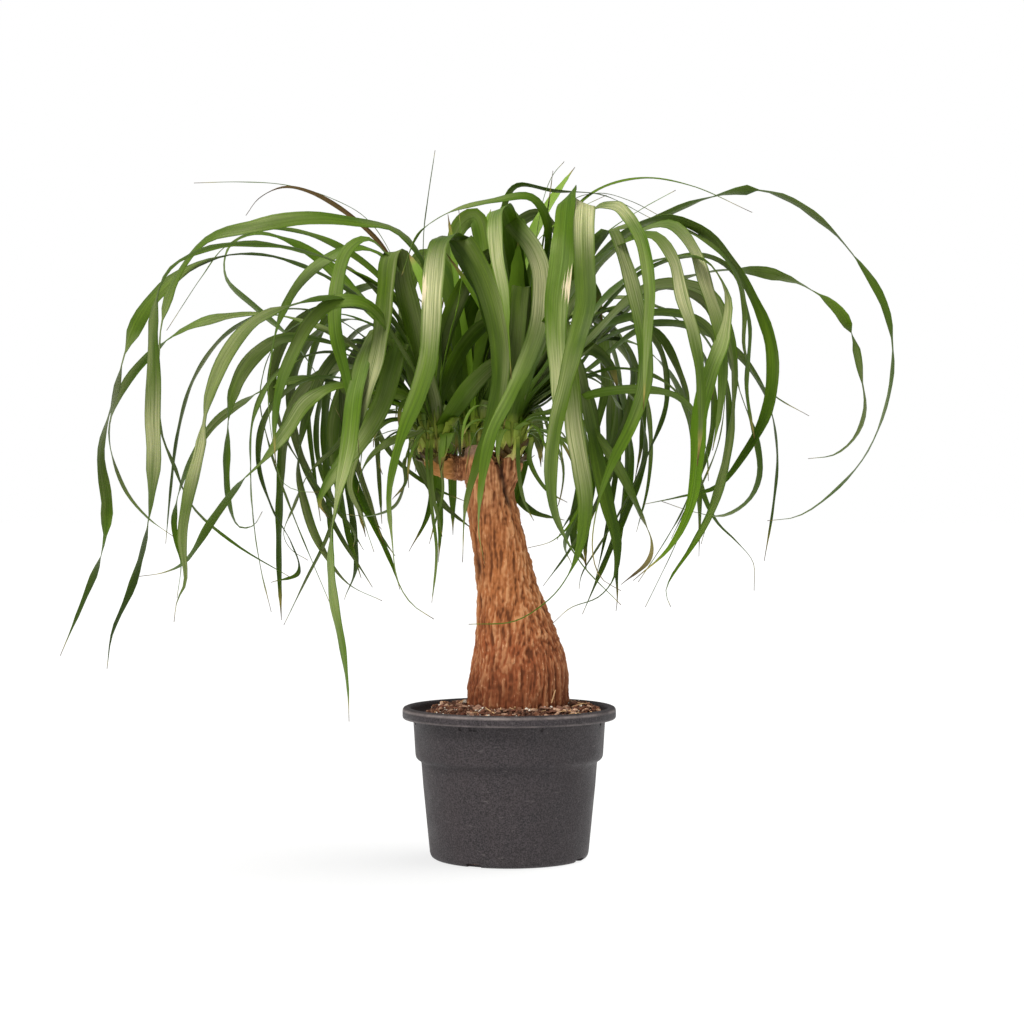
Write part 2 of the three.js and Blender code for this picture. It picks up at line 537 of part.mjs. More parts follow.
function trunkRings(rows, grow, ridges) {
  return rows.map(([z, left, right]) => {
    const ring = [];
    const across = (right - left) / 2 + grow;
    for (let j = 0; j < TRUNK.sides; j += 1) {
      const angle = (j / TRUNK.sides) * Math.PI * 2;
      const reach = across + (z > TRUNK.groundZ ? ridges(j, z) : 0);
      const x = (left + right) / 2 + reach * Math.cos(angle);
      ring.push(point(x, reach * TRUNK.depthShare * Math.sin(angle), z));
    }
    return ring;
  });
}

// Bark stands in rough upright ridges, higher or lower from column to column
function barkRidges() {
  const draw = makeDraw(TRUNK.seed);
  const columns = Array.from({ length: TRUNK.sides }, () => [draw() * 6, 0.6 + 0.8 * draw()]);
  return (j, z) => TRUNK.ridge * (j % 2 ? 0.7 : -0.7) * columns[j][1] * Math.cos(z / 23 + columns[j][0]);
}

function stub(head) {
  const ends = [...head.stub, [head.x, head.y, head.z - 6], [head.x, head.y, head.z]];
  const curve = new THREE.CatmullRomCurve3(ends.map((p) => point(...p)));
  const points = curve.getPoints(STUB.steps);
  const frames = framesAlong(points, point(0, 1, 0));
  frames[STUB.steps] = { side: point(0, 1, 0), face: point(-1, 0, 0) };
  const rings = points.map((centre, i) => {
    const radius = mix(STUB.startRadius, STUB.endRadius, i / STUB.steps);
    const ring = [];
    for (let j = 0; j < STUB.sides; j += 1) {
      const angle = (j / STUB.sides) * Math.PI * 2;
      const spoke = centre.clone().addScaledVector(frames[i].side, radius * Math.cos(angle));
      spoke.addScaledVector(frames[i].face, radius * Math.sin(angle));
      spoke.z = Math.min(spoke.z, head.z - STUB.drop * (STUB.steps - i));
      ring.push(spoke);
    }
    return ring;
  });
  return solidOf(skin(rings));
}

function trunk() {
  let body = solidOf(skin(trunkRings(TRUNK_OUTLINE, 0, barkRidges())));
  for (const head of Object.values(HEADS)) body = body.add(stub(head));
  return meshOf('trunk', body, finish(0x9c5f35, 0.85));
}

// Soil

function soil() {
  const draw = makeDraw(SOIL.seed);
  const side = potInside().map(([r, z], i) => [r - GAP, i === 0 ? z + GAP : z]);
  side.pop();
  const top = [];
  for (let i = 0; i <= SOIL.rings; i += 1) {
    const share = i / SOIL.rings;
    const radius = mix(POT.neckRadius - POT.wall - GAP - 0.4, SOIL.moundRadius, share);
    top.push([radius, mix(SOIL.edgeZ, SOIL.moundZ, smooth(share))]);
  }
  const outline = [[0, side[0][1]], ...side, ...top, [0, SOIL.moundZ]];
  const geometry = turned(outline, POT.sides);
  geometry.deleteAttribute('normal');
  geometry.deleteAttribute('uv');
  const merged = mergeVertices(geometry, 1e-4);
  const place = merged.attributes.position;
  for (let i = 0; i < place.count; i += 1) {
    if (place.getZ(i) > SOIL.edgeZ - 1) place.setZ(i, place.getZ(i) + SOIL.lump * (draw() * 2 - 1));
  }
  const hole = trunkRings(TRUNK_OUTLINE.slice(0, 4), GAP, () => 0);
  hole[0].forEach((p) => p.setZ(TRUNK.rootZ - GAP));
  const body = solidOf(merged).subtract(solidOf(skin(hole)));
  return meshOf('soil', body, finish(0x3d2a20, 0.95));
}

// Leaves

// Where a point of the front view lies in space, when it is at depth y
function fromView(x, z, y) {
  const scale = (y - EYE.y) / -EYE.y;
  return point(EYE.x + (x - EYE.x) * scale, y, EYE.z + (z - EYE.z) * scale);
}

function depthAt(headY, depths, fraction, routeShare) {
  if (depths.length > 2) return alongList(depths, routeShare);
  const [arch, tip] = depths;
  if (fraction < LEAF.archAt) return mix(headY, arch, smooth(fraction / LEAF.archAt));
  return mix(arch, tip, (fraction - LEAF.archAt) / (1 - LEAF.archAt));
}

// A leaf's middle line through its route: the root lies on the head's axis, higher for a steeper leaf
function routedLine(head, depths, route) {
  const flat = [[head.x, head.z], ...route];
  const run = [0];
  for (let i = 1; i < flat.length; i += 1) {
    run.push(run[i - 1] + Math.hypot(flat[i][0] - flat[i - 1][0], flat[i][1] - flat[i - 1][1]));
  }
  const points = route.map(([x, z], i) => {
    const fraction = run[i + 1] / run[run.length - 1];
    return fromView(x, z, depthAt(head.y, depths, fraction, i / (route.length - 1)));
  });
  const steep = clamp01(points[0].clone().sub(point(head.x, head.y, head.z)).normalize().z);
  return withRoot(head, steep, points);
}

function withRoot(head, steep, points) {
  const root = point(head.x, head.y, head.z + mix(CORE.lowestRoot, CORE.highestRoot, steep * steep));
  const away = points[0].clone().sub(root).normalize();
  away.z = Math.max(away.z + LEAF.rootLift * steep, LEAF.leastLift);
  const clasp = root.clone().addScaledVector(away.normalize(), LEAF.rootReach);
  return [root, clasp, ...points];
}

// A leaf that rises from its head, arches over and hangs, wandering a little off its bearing
function grownLine(head, length, rise, fall, bearing, wander, bendTo) {
  const points = [];
  const at = point(head.x, head.y, head.z + 20);
  const step = length / GROWN.steps;
  for (let i = 0; i < GROWN.steps; i += 1) {
    const fraction = (i + 0.5) / GROWN.steps;
    const bent = smooth(clamp01((fraction - GROWN.bendFrom) / (bendTo - GROWN.bendFrom)));
    const slope = radians(mix(rise, fall, bent));
    const heading = radians(bearing + wander * fraction * fraction);
    at.x += step * Math.cos(slope) * Math.cos(heading);
    at.y += step * Math.cos(slope) * Math.sin(heading);
    at.z += step * Math.sin(slope);
    points.push(at.clone());
  }
  return withRoot(head, Math.sin(radians(rise)), points);
}

// Leaves stay on their own head's side of each border, and ease along it where they would cross
function keepSide(place, headName) {
  for (const border of BORDERS) {
    if (headName !== border.near && headName !== border.far) continue;
    const sign = headName === border.far ? 1 : -1;
    const facing = radians(border.facing);
    const nx = sign * Math.cos(facing);
    const ny = sign * Math.sin(facing);
    const inside = (place.x - border.x) * nx + (place.y - border.y) * ny;
    const eased = Math.log(1 + Math.exp((inside - BORDER_MARGIN) / BORDER_SOFTNESS));
    const shift = BORDER_MARGIN + BORDER_SOFTNESS * eased - inside;
    place.x += nx * shift;
    place.y += ny * shift;
  }
  return place;
}

// How far a blade's width is turned from the side of each frame towards its face, in radians.
// A flat blade turned by half a turn is the same blade, so it always turns the shorter way.
function turnsAlong(points, frames, twist) {
  const last = points.length - 1;
  if (!Array.isArray(twist[0])) return points.map((p, i) => radians(alongList(twist, i / last)));
  const turns = [0];
  for (let i = 1; i <= last; i += 1) {
    const { along, side, face } = frames[i];
    const flat = points[i].clone().sub(point(EYE.x, EYE.y, EYE.z)).cross(along).normalize();
    const deep = along.clone().cross(flat);
    const facing = radians(fromTable(twist, i / last));
    const across = flat.multiplyScalar(Math.cos(facing)).addScaledVector(deep, Math.sin(facing));
    const change = Math.atan2(across.dot(face), across.dot(side)) - turns[i - 1];
    turns.push(turns[i - 1] + change - Math.PI * Math.round(change / Math.PI));
  }
  return turns;
}

function blade(headName, line, width, twist) {
  const curve = new THREE.CatmullRomCurve3(line);
  const [broadest, threadAt = 1] = Array.isArray(width) ? width : [width];
  const spacing = broadest > THREAD ? LEAF.spacing : LEAF.threadSpacing;
  const steps = Math.max(3, Math.round(curve.getLength() / spacing));
  const points = curve.getSpacedPoints(steps).map((p) => keepSide(p, headName));
  const middle = points[Math.round(steps * LEAF.archAt)];
  const outward = point(middle.x - points[0].x, middle.y - points[0].y, 0).normalize();
  const frames = framesAlong(points, point(-outward.y, outward.x, 0));
  const turns = turnsAlong(points, frames, twist);
  const rings = points.map((centre, i) => {
    const turn = turns[i];
    const share = fromTable(BLADE_PROFILE, Math.min(1, i / steps / threadAt));
    const { side, face } = frames[i];
    const across = side.clone().multiplyScalar(Math.cos(turn)).addScaledVector(face, Math.sin(turn));
    const up = face.clone().multiplyScalar(Math.cos(turn)).addScaledVector(side, -Math.sin(turn));
    across.multiplyScalar(Math.max(NARROWEST, broadest * share) / 2);
    up.multiplyScalar(LEAF.thickness / 2);
    return [
      centre.clone().add(across).add(up),
      centre.clone().sub(across).add(up),
      centre.clone().sub(across).sub(up),
      centre.clone().add(across).sub(up),
    ];
  });
  return solidOf(skin(rings, [2]));
}

function core(head) {
  const { radius, height } = CORE;
  const outline = [
    [0, 0],
    [radius - 1, 0],
    [radius, height * 0.12],
    [radius * 0.9, height * 0.5],
    [radius * 0.55, height * 0.85],
    [0, height],
  ];
  return solidOf(turned(outline, CORE.sides).translate(head.x, head.y, head.z + GAP));
}

// Leaves that point straight back are shorter than those that point to a side
function sidewaysShare(bearing) {
  return mix(GROWN.backwardShare, 1, Math.abs(Math.cos(radians(bearing))) ** 1.5);
}

function grownLeaves(headName) {
  const head = HEADS[headName];
  const { seed, count, from, to, young } = GROWTH[headName];
  const draw = makeDraw(seed);
  const within = ([low, high]) => mix(low, high, draw());
  const solids = [];
  for (let i = 0; i < count; i += 1) {
    const age = (i + 0.5) / count;
    const bearing = mix(from, to, (i * GOLDEN + 0.5 * draw() / count) % 1) + 6 * (draw() - 0.5);
    const fullLength = mix(...GROWN.length, age) + GROWN.lengthSpread * (draw() - 0.5);
    const length = fullLength * sidewaysShare(bearing);
    const rise = mix(...GROWN.rise, age) + 6 * (draw() - 0.5);
    const wander = GROWN.wander * (draw() * 2 - 1);
    const line = grownLine(head, length, rise, within(GROWN.fall), bearing, wander, within(GROWN.bendTo));
    const most = GROWN.twist * (draw() * 2 - 1);
    const twist = [0, most * 0.5, most, -most * 0.4, most * 0.6];
    solids.push(blade(headName, line, within(GROWN.width), twist));
  }
  for (let i = 0; i < young; i += 1) {
    const bearing = 360 * ((i * GOLDEN) % 1);
    const length = within(YOUNG.length);
    const rise = within(YOUNG.rise);
    const line = grownLine(head, length, rise, within(YOUNG.fall), bearing, 0, 1);
    solids.push(blade(headName, line, within(YOUNG.width), [0, 20 * (draw() * 2 - 1)]));
  }
  return solids;
}

function head(headName) {
  let body = core(HEADS[headName]);
  for (const [width, depths, twist, route] of GROWTH[headName].routed) {
    body = body.add(blade(headName, routedLine(HEADS[headName], depths, route), width, twist));
  }
  for (const leaf of grownLeaves(headName)) body = body.add(leaf);
  return meshOf(`${headName}_head`, outerBody(body), finish(0x4d7a2c, 0.5));
}

const plant = new THREE.Group();
plant.add(pot(), soil(), trunk());
for (const headName of Object.keys(HEADS)) plant.add(head(headName));

export default plant;
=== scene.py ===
# %% [markdown]
# # A ponytail palm in its nursery pot
# The object is a house plant: a swollen, cork-barked trunk that was once topped, three heads of long
# strap leaves that arch over and hang, and the round plastic pot of soil that it grows in.
# The solid model is already made. This lesson dresses it, piece by piece, so every piece is
# built in metres in the same frame: +Z is up, the plant faces -Y, and the origin is under the pot.
#
# The first cell loads the imported solids. They are fixed: nothing here moves or edits them.

import math

import bpy
import numpy as np
from mathutils import Euler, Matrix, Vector, noise


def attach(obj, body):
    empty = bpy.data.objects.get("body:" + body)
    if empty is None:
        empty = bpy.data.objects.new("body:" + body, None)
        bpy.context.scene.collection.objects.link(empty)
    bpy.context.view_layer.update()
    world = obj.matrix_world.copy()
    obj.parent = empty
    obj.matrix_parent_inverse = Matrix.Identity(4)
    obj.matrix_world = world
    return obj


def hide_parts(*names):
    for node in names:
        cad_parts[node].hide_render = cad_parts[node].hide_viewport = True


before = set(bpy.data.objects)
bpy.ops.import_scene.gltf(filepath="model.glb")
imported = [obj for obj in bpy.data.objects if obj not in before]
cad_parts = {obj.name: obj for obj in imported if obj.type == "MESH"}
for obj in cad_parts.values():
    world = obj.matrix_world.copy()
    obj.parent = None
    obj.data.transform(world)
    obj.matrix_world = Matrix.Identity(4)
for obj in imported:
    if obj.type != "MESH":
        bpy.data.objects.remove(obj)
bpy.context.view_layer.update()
print("solids:", ", ".join(sorted(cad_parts)))

# %% [markdown]
# ## Helpers for modelling by hand
# An operator works on whatever is selected, so each piece starts from an empty selection.
# Sizes are easier to think of in millimetres, so they are written in millimetres and multiplied by MM.
# The two ways of starting a piece are a primitive that is then shaped in edit mode, and, for shapes that
# follow a rule such as a leaf, a list of points and faces.

# %% Small modelling helpers
MM = 0.001


def clear_selection():
    if bpy.context.object and bpy.context.object.mode != "OBJECT":
        bpy.ops.object.mode_set(mode="OBJECT")
    bpy.ops.object.select_all(action="DESELECT")


def pick(piece):
    """Makes one piece the selected and active one."""
    clear_selection()
    piece.select_set(True)
    bpy.context.view_layer.objects.active = piece


def apply_modifier(piece, kind, **options):
    """Adds a modifier, sets its options and applies it."""
    pick(piece)
    modifier = piece.modifiers.new(kind.title(), kind)
    for option, value in options.items():
        setattr(modifier, option, value)
    bpy.ops.object.modifier_apply(modifier=modifier.name)


def settle(piece):
    """Puts the piece's place, turn and scale into its mesh, so that its object sits at the origin."""
    pick(piece)
    bpy.ops.object.transform_apply(location=True, rotation=True, scale=True)


def smooth_by_angle(piece, degrees):
    pick(piece)
    bpy.ops.object.shade_smooth_by_angle(angle=math.radians(degrees))


def face_outwards(piece):
    pick(piece)
    bpy.ops.object.mode_set(mode="EDIT")
    bpy.ops.mesh.select_all(action="SELECT")
    bpy.ops.mesh.normals_make_consistent(inside=False)
    bpy.ops.object.mode_set(mode="OBJECT")


def triangles(piece):
    return sum(len(face.vertices) - 2 for face in piece.data.polygons)


def tell(piece):
    """Prints what a finished piece measures."""
    size = [round(v / MM) for v in piece.dimensions]
    print(f"{piece.name}: {triangles(piece)} triangles, {size} mm")


print("helpers ready")

# %% [markdown]
# Everything that looks random is drawn from a seeded rule, so that each run grows the same plant.
# The same rule placed the leaves of the solids. Blender's own noise with a direction starts from the clock
# unless it is given a seed, so it gets one. A smooth step eases from 0 to 1 with level ends.

# %% Numbers and draws
NOISE_SEED = 7


def mix(a, b, t):
    return a + (b - a) * t


def smooth(t):
    return t * t * (3 - 2 * t)


def clamp01(t):
    return min(1.0, max(0.0, t))


def make_draw(seed):
    state = seed

    def draw():
        nonlocal state
        state = (state * 1664525 + 1013904223) % 4294967296
        return state / 4294967296

    return draw


def along_list(values, fraction):
    """The value at a fraction of the way through a list of evenly spaced values."""
    place = clamp01(fraction) * (len(values) - 1)
    i = min(len(values) - 2, int(place))
    return mix(values[i], values[i + 1], smooth(place - i))


def from_table(table, fraction):
    """The value at a fraction, from a table of [fraction, value] rows."""
    row = 0
    while row < len(table) - 2 and table[row + 1][0] < fraction:
        row += 1
    (a, start), (b, end) = table[row], table[row + 1]
    return mix(start, end, smooth(clamp01((fraction - a) / (b - a))))


noise.seed_set(NOISE_SEED)
sample_draw = make_draw(7)
print("three draws:", [round(sample_draw(), 3) for _ in range(3)])

# %% [markdown]
# ## The camera and the light
# The photograph was taken from a little over two metres away, from just above the leaves' roots,
# looking level. A long lens gives the flat look of a shop picture.
# The light is a wide, soft one from the front, above and to the left, with an even white room round it.
# The camera sees the room as pure white, and the leaves see it a good deal dimmer, which keeps the greens
# deep. A weak second light from the right keeps the far side of the trunk and the pot from going black.
# In the photograph the soft shadow on the floor lies to the left of the pot and a little in front, as
# from a lamp on the right. So the floor has a light of its own, and light linking keeps the first two
# off it.

# %% Camera, light and floor
EYE = (2.7, -2200.0, 352.0)
FRAME_PIXELS = 1024
FOCAL_PIXELS = 2235.8
HORIZON_ABOVE_MIDDLE = 12.7
SENSOR_WIDTH = 36.0

scene = bpy.context.scene
camera_data = bpy.data.cameras.new("camera")
camera_data.sensor_width = SENSOR_WIDTH
camera_data.lens = FOCAL_PIXELS / FRAME_PIXELS * SENSOR_WIDTH
camera_data.clip_start = 0.05
camera_data.clip_end = 100.0
camera = bpy.data.objects.new("camera", camera_data)
scene.collection.objects.link(camera)
camera.location = [v * MM for v in EYE]
camera.rotation_euler = (math.pi / 2 - math.atan(HORIZON_ABOVE_MIDDLE / FOCAL_PIXELS), 0.0, 0.0)
scene.camera = camera
scene.view_settings.view_transform = "Standard"

WHITE = (1.0, 1.0, 1.0, 1.0)
ROOM_LIGHT = 0.33
KEY_COLOUR = (1.0, 0.98, 0.95)
KEY_POWER = 3.6
KEY_SOFTNESS = 30.0
KEY_TRAVEL = (0.36, 0.48, -0.84)
FILL_POWER = 0.45
FILL_SOFTNESS = 60.0
FILL_TRAVEL = (-0.7, 0.55, -0.3)
FLOOR_POWER = 3.9
FLOOR_SOFTNESS = 70.0
FLOOR_TRAVEL = (-0.45, -0.17, -0.87)
FLOOR_SIZE = 60.0


def add_sun(name, power, softness, travel, colour):
    """A far, soft light that shines along a direction."""
    data = bpy.data.lights.new(name, "SUN")
    data.energy = power
    data.angle = math.radians(softness)
    data.color = colour
    sun = bpy.data.objects.new(name, data)
    scene.collection.objects.link(sun)
    sun.rotation_euler = Vector(travel).to_track_quat("-Z", "Y").to_euler()
    return sun


key_light = add_sun("key_light", KEY_POWER, KEY_SOFTNESS, KEY_TRAVEL, KEY_COLOUR)
fill_light = add_sun("fill_light", FILL_POWER, FILL_SOFTNESS, FILL_TRAVEL, WHITE[:3])
floor_light = add_sun("floor_light", FLOOR_POWER, FLOOR_SOFTNESS, FLOOR_TRAVEL, WHITE[:3])

world = bpy.data.worlds.new("white_room")
world.use_nodes = True
scene.world = world
room = world.node_tree
seen = room.nodes["Background"]
seen.inputs["Color"].default_value = WHITE
seen.inputs["Strength"].default_value = 1.0
shining = room.nodes.new("ShaderNodeBackground")
shining.inputs["Color"].default_value = WHITE
shining.inputs["Strength"].default_value = ROOM_LIGHT
chooser = room.nodes.new("ShaderNodeMixShader")
rays = room.nodes.new("ShaderNodeLightPath")
room.links.new(rays.outputs["Is Camera Ray"], chooser.inputs["Fac"])
room.links.new(shining.outputs["Background"], chooser.inputs[1])
room.links.new(seen.outputs["Background"], chooser.inputs[2])
room.links.new(chooser.outputs["Shader"], room.nodes["World Output"].inputs["Surface"])

clear_selection()
bpy.ops.mesh.primitive_plane_add(size=FLOOR_SIZE, location=(0.0, 0.0, 0.0))
floor = bpy.context.object
floor.name = "floor"


def link_light(sun, piece, state):
    """Lets a light reach one piece only (INCLUDE), or every piece but that one (EXCLUDE)."""
    reached = bpy.data.collections.new("reached_by_" + sun.name)
    reached.objects.link(piece)
    sun.light_linking.receiver_collection = reached
    reached.collection_objects[0].light_linking.link_state = state


link_light(key_light, floor, "EXCLUDE")
link_light(fill_light, floor, "EXCLUDE")
link_light(floor_light, floor, "INCLUDE")
print("camera lens:", round(camera_data.lens, 2), "mm")

# %% [markdown]
# ## Tools for materials
# A finish is a small graph of nodes. These helpers add a node, set its inputs and link what is passed in.
# Most of a finish is paint laid over paint, each as far as a mask lets it, so one helper does just that.
# Patterns read the piece's own coordinates or attributes, so they stay on it from every side.
# Three effects are used by more than one finish, and each is a node group that is built once:
# - *mottle*, broad soft patches that break up a flat colour,
# - *grit*, small sharp specks,
# - *fibres*, fine streaks along a stretched direction, as in bark and leaves.

# %% Node helpers and shared effects


def paint(code):
    """A colour written as six hex letters, made linear."""
    parts = [int(code[i : i + 2], 16) / 255 for i in (0, 2, 4)]
    linear = [v / 12.92 if v <= 0.04045 else ((v + 0.055) / 1.055) ** 2.4 for v in parts]
    return (*linear, 1.0)


def feed(tree, node, sockets):
    """Sets a node's inputs. One that is given another node's output is linked to it."""
    for name, value in sockets.items():
        if isinstance(value, bpy.types.NodeSocket):
            tree.links.new(value, node.inputs[name])
        else:
            node.inputs[name].default_value = value


def put(tree, kind, sockets=None, **options):
    """Adds a node, with its options and inputs."""
    made = tree.nodes.new("ShaderNode" + kind)
    for option, value in options.items():
        setattr(made, option, value)
    feed(tree, made, sockets or {})
    return made


def cloud(tree, vector, scale, detail=4.0, roughness=0.55, lacunarity=2.0):
    sockets = {"Vector": vector, "Scale": scale, "Detail": detail, "Roughness": roughness}
    sockets["Lacunarity"] = lacunarity
    return put(tree, "TexNoise", sockets).outputs["Fac"]


def reach(tree, value, low, high, to_low=0.0, to_high=1.0):
    """Maps a value from one range to another, held at the ends."""
    sockets = {"Value": value, "From Min": low, "From Max": high, "To Min": to_low, "To Max": to_high}
    return put(tree, "MapRange", sockets).outputs["Result"]


def combine(tree, first, second, operation="MULTIPLY"):
    return put(tree, "Math", {0: first, 1: second}, operation=operation).outputs[0]


def tint(tree, share, under, over):
    return put(tree, "Mix", {0: share, 6: under, 7: over}, data_type="RGBA").outputs[2]


def layer(tree, under, code, mask, *more_masks):
    """Lays one paint over a colour, as far as its masks, multiplied, let it."""
    for other in more_masks:
        mask = combine(tree, mask, other)
    return tint(tree, mask, under, paint(code))


def stretch(tree, vector, factors):
    return put(tree, "VectorMath", {0: vector, 1: factors}, operation="MULTIPLY").outputs[0]


def attribute(tree, name, output="Fac"):
    return put(tree, "Attribute", attribute_name=name).outputs[output]


def bump(tree, height, distance, strength, under=None):
    sockets = {"Height": height, "Distance": distance, "Strength": strength}
    if under is not None:
        sockets["Normal"] = under
    return put(tree, "Bump", sockets).outputs["Normal"]


def new_group(name, inputs, output):
    """An empty node group with a vector, some numbers and one output value."""
    group = bpy.data.node_groups.new(name, "ShaderNodeTree")
    group.interface.new_socket(name="Vector", in_out="INPUT", socket_type="NodeSocketVector")
    for title, start in inputs.items():
        socket = group.interface.new_socket(name=title, in_out="INPUT", socket_type="NodeSocketFloat")
        socket.default_value = start
    group.interface.new_socket(name=output, in_out="OUTPUT", socket_type="NodeSocketFloat")
    given = group.nodes.new("NodeGroupInput")
    result = group.nodes.new("NodeGroupOutput")
    return group, given.outputs, result.inputs[output]


mottle_group, given, result = new_group("mottle", {"Scale": 20.0}, "Patches")
patches = cloud(mottle_group, given["Vector"], given["Scale"], 5.0, 0.6)
mottle_group.links.new(reach(mottle_group, patches, 0.36, 0.64), result)

grit_group, given, result = new_group("grit", {"Scale": 300.0, "Threshold": 0.6}, "Specks")
specks = cloud(grit_group, given["Vector"], given["Scale"], 2.0, 0.5)
sharp_end = combine(grit_group, given["Threshold"], 0.06, "ADD")
grit_group.links.new(reach(grit_group, specks, given["Threshold"], sharp_end), result)

fibre_group, given, result = new_group("fibres", {"Scale": 100.0}, "Streaks")
streaks = cloud(fibre_group, given["Vector"], given["Scale"], 6.0, 0.65, 2.3)
fibre_group.links.new(reach(fibre_group, streaks, 0.34, 0.66), result)


def effect(tree, group, vector, **values):
    """Places one of the shared groups in a material with its own values."""
    made = tree.nodes.new("ShaderNodeGroup")
    made.node_tree = group
    tree.links.new(vector, made.inputs["Vector"])
    for name, value in values.items():
        made.inputs[name].default_value = value
    return made.outputs[0]


def new_finish(name):
    """A material with its tree, its shader and its object coordinates."""
    material = bpy.data.materials.new(name)
    material.use_nodes = True
    tree = material.node_tree
    place = put(tree, "TexCoord").outputs["Object"]
    return material, tree, tree.nodes["Principled BSDF"], place


print("shared effects:", [group.name for group in (mottle_group, grit_group, fibre_group)])

# %% [markdown]
# The floor is a plain pale light table, so that shadows on it stay faint, as in the photograph.
# It is stage, not part of the plant. A trace of texture stops it from looking like a flat fill.

# %% Floor finish
material, tree, shader, place = new_finish("pale_light_table")
paper_grain = effect(tree, mottle_group, place, Scale=3.0)
settings = {
    "Base Color": tint(tree, paper_grain, paint("838382"), paint("858584")),
    "Roughness": 0.9,
    "Specular IOR Level": 0.0,
    "Emission Color": WHITE,
    "Emission Strength": 0.81,
}
feed(tree, shader, settings)
floor.data.materials.append(material)
print("floor finish:", material.name)

# %% [markdown]
# ## Round forms, ring by ring
# The pot, the soil and the trunk are all round forms that change width on the way up. A sculptor might
# turn them, but in Blender a filled circle that is extruded and scaled, ring after ring, gives full
# control of every step. The result is one closed body, whatever way the rings go.

# %% Extrude a circle into rings


def stack_rings(name, rings, sides):
    """Extrudes a filled circle through rings of (x, y, z, half width, half depth), in millimetres."""
    clear_selection()
    x, y, z, wide, deep = rings[0]
    centre = (x * MM, y * MM, z * MM)
    bpy.ops.mesh.primitive_circle_add(vertices=sides, radius=MM, fill_type="NGON", location=centre)
    piece = bpy.context.object
    piece.name = name
    bpy.ops.object.mode_set(mode="EDIT")
    bpy.ops.mesh.select_all(action="SELECT")
    bpy.ops.transform.resize(value=(wide, deep, 1.0), center_override=centre)
    for before, after in zip(rings, rings[1:]):
        step = tuple((b - a) * MM for a, b in zip(before[:3], after[:3]))
        centre = tuple(v * MM for v in after[:3])
        growth = (after[3] / before[3], after[4] / before[4], 1.0)
        bpy.ops.mesh.extrude_region_move(TRANSFORM_OT_translate={"value": step})
        bpy.ops.transform.resize(value=growth, center_override=centre)
    bpy.ops.object.mode_set(mode="OBJECT")
    settle(piece)
    face_outwards(piece)
    return piece


def turned(name, outline, sides):
    """A form turned round the pot's axis, from (radius, height) pairs."""
    return stack_rings(name, [(0, 0, z, r, r) for r, z in outline], sides)


def cut_away(piece, cutters):
    """Cuts closed pieces out of another one, and removes them."""
    for cutter in cutters:
        apply_modifier(piece, "BOOLEAN", operation="DIFFERENCE", solver="EXACT", object=cutter)
        bpy.data.objects.remove(cutter)


print("ready to stack rings")

# %% [markdown]
# ## The pot
# A nursery pot is one thin moulded shell: a flat foot with a rounded edge, a tapering wall, a shoulder
# where the wall steps out to a collar, and a rolled rim that stiffens it. Its inner wall runs a constant
# distance behind the outer one. The outline below goes up the outside, over the rim and down the inside.

# %% Turn the pot's shell
POT_SIDES = 144
RIM_TOP = 148.4
RIM_RADIUS = 105.0
LIP_FOOT = 136.8

pot_outside = [(1, 0), (71.5, 0), (74.4, 0.4), (76.3, 1.6), (77.5, 3.5), (78.2, 6.2)]
pot_outside += [(84.6, 70), (86.35, 92.2), (86.7, 94.2), (87.6, 95.5), (89.9, 96.9), (91.4, 98.5)]
pot_outside += [(92.1, 100.4), (92.4, 103), (94.4, 134.6), (94.8, 136.2), (95.6, LIP_FOOT)]
pot_rim = [(102.4, LIP_FOOT), (103.9, 137.1), (104.7, 137.9), (RIM_RADIUS, 139.2), (RIM_RADIUS, 144.6)]
pot_rim += [(104.7, 146.3), (103.8, 147.6), (102.2, 148.3), (100.6, RIM_TOP), (99.0, 148.2)]
pot_rim += [(97.6, 147.4), (96.8, 146.0), (96.5, 144.2), (96.2, 140.2), (94.2, 137.2)]
pot_inside = [(92.6, 135.4), (90.3, 102), (88.5, 98.5), (84.6, 94.5), (84.3, 91), (76.2, 7)]
pot_inside += [(72, 2.2), (1, 2.2)]
pot = turned("pot_shell", pot_outside + pot_rim + pot_inside, POT_SIDES)
tell(pot)

# %% [markdown]
# Water leaves by four notches in the foot, and a few small slots sit right under the rim, where the
# mould's slides met. Both are cut with beveled blocks, since a moulded hole never has a razor edge.

# %% Cut the drain notches and the slots under the rim
DRAIN_ANGLES = (63, 153, 243, 333)
DRAIN_NOTCH = {"radius": 76, "height": 0, "size": (14, 16, 8), "edge": 1.2}
SLOT_ANGLES = (-110, -119.5, -113, -71, -165, -20, 60, 67, 110, 160)
RIM_SLOT = {"radius": 94.6, "height": 134.2, "size": (2.4, 3.4, 3.6), "edge": 0.3}


def beveled_block(centre, size, turn, edge):
    """A block with its place, size and turn about Z, and rounded edges."""
    clear_selection()
    bpy.ops.mesh.primitive_cube_add(size=1.0, location=[v * MM for v in centre])
    block = bpy.context.object
    block.scale = [v * MM for v in size]
    block.rotation_euler = (0.0, 0.0, math.radians(turn))
    settle(block)
    apply_modifier(block, "BEVEL", width=edge * MM, segments=2)
    return block


def block_at(angle, radius, height, size, edge):
    turn = math.radians(angle)
    return beveled_block((radius * math.cos(turn), radius * math.sin(turn), height), size, angle, edge)


notches = [block_at(angle, **DRAIN_NOTCH) for angle in DRAIN_ANGLES]
slots = [block_at(angle, **RIM_SLOT) for angle in SLOT_ANGLES]
cut_away(pot, notches + slots)
smooth_by_angle(pot, 32)
tell(pot)
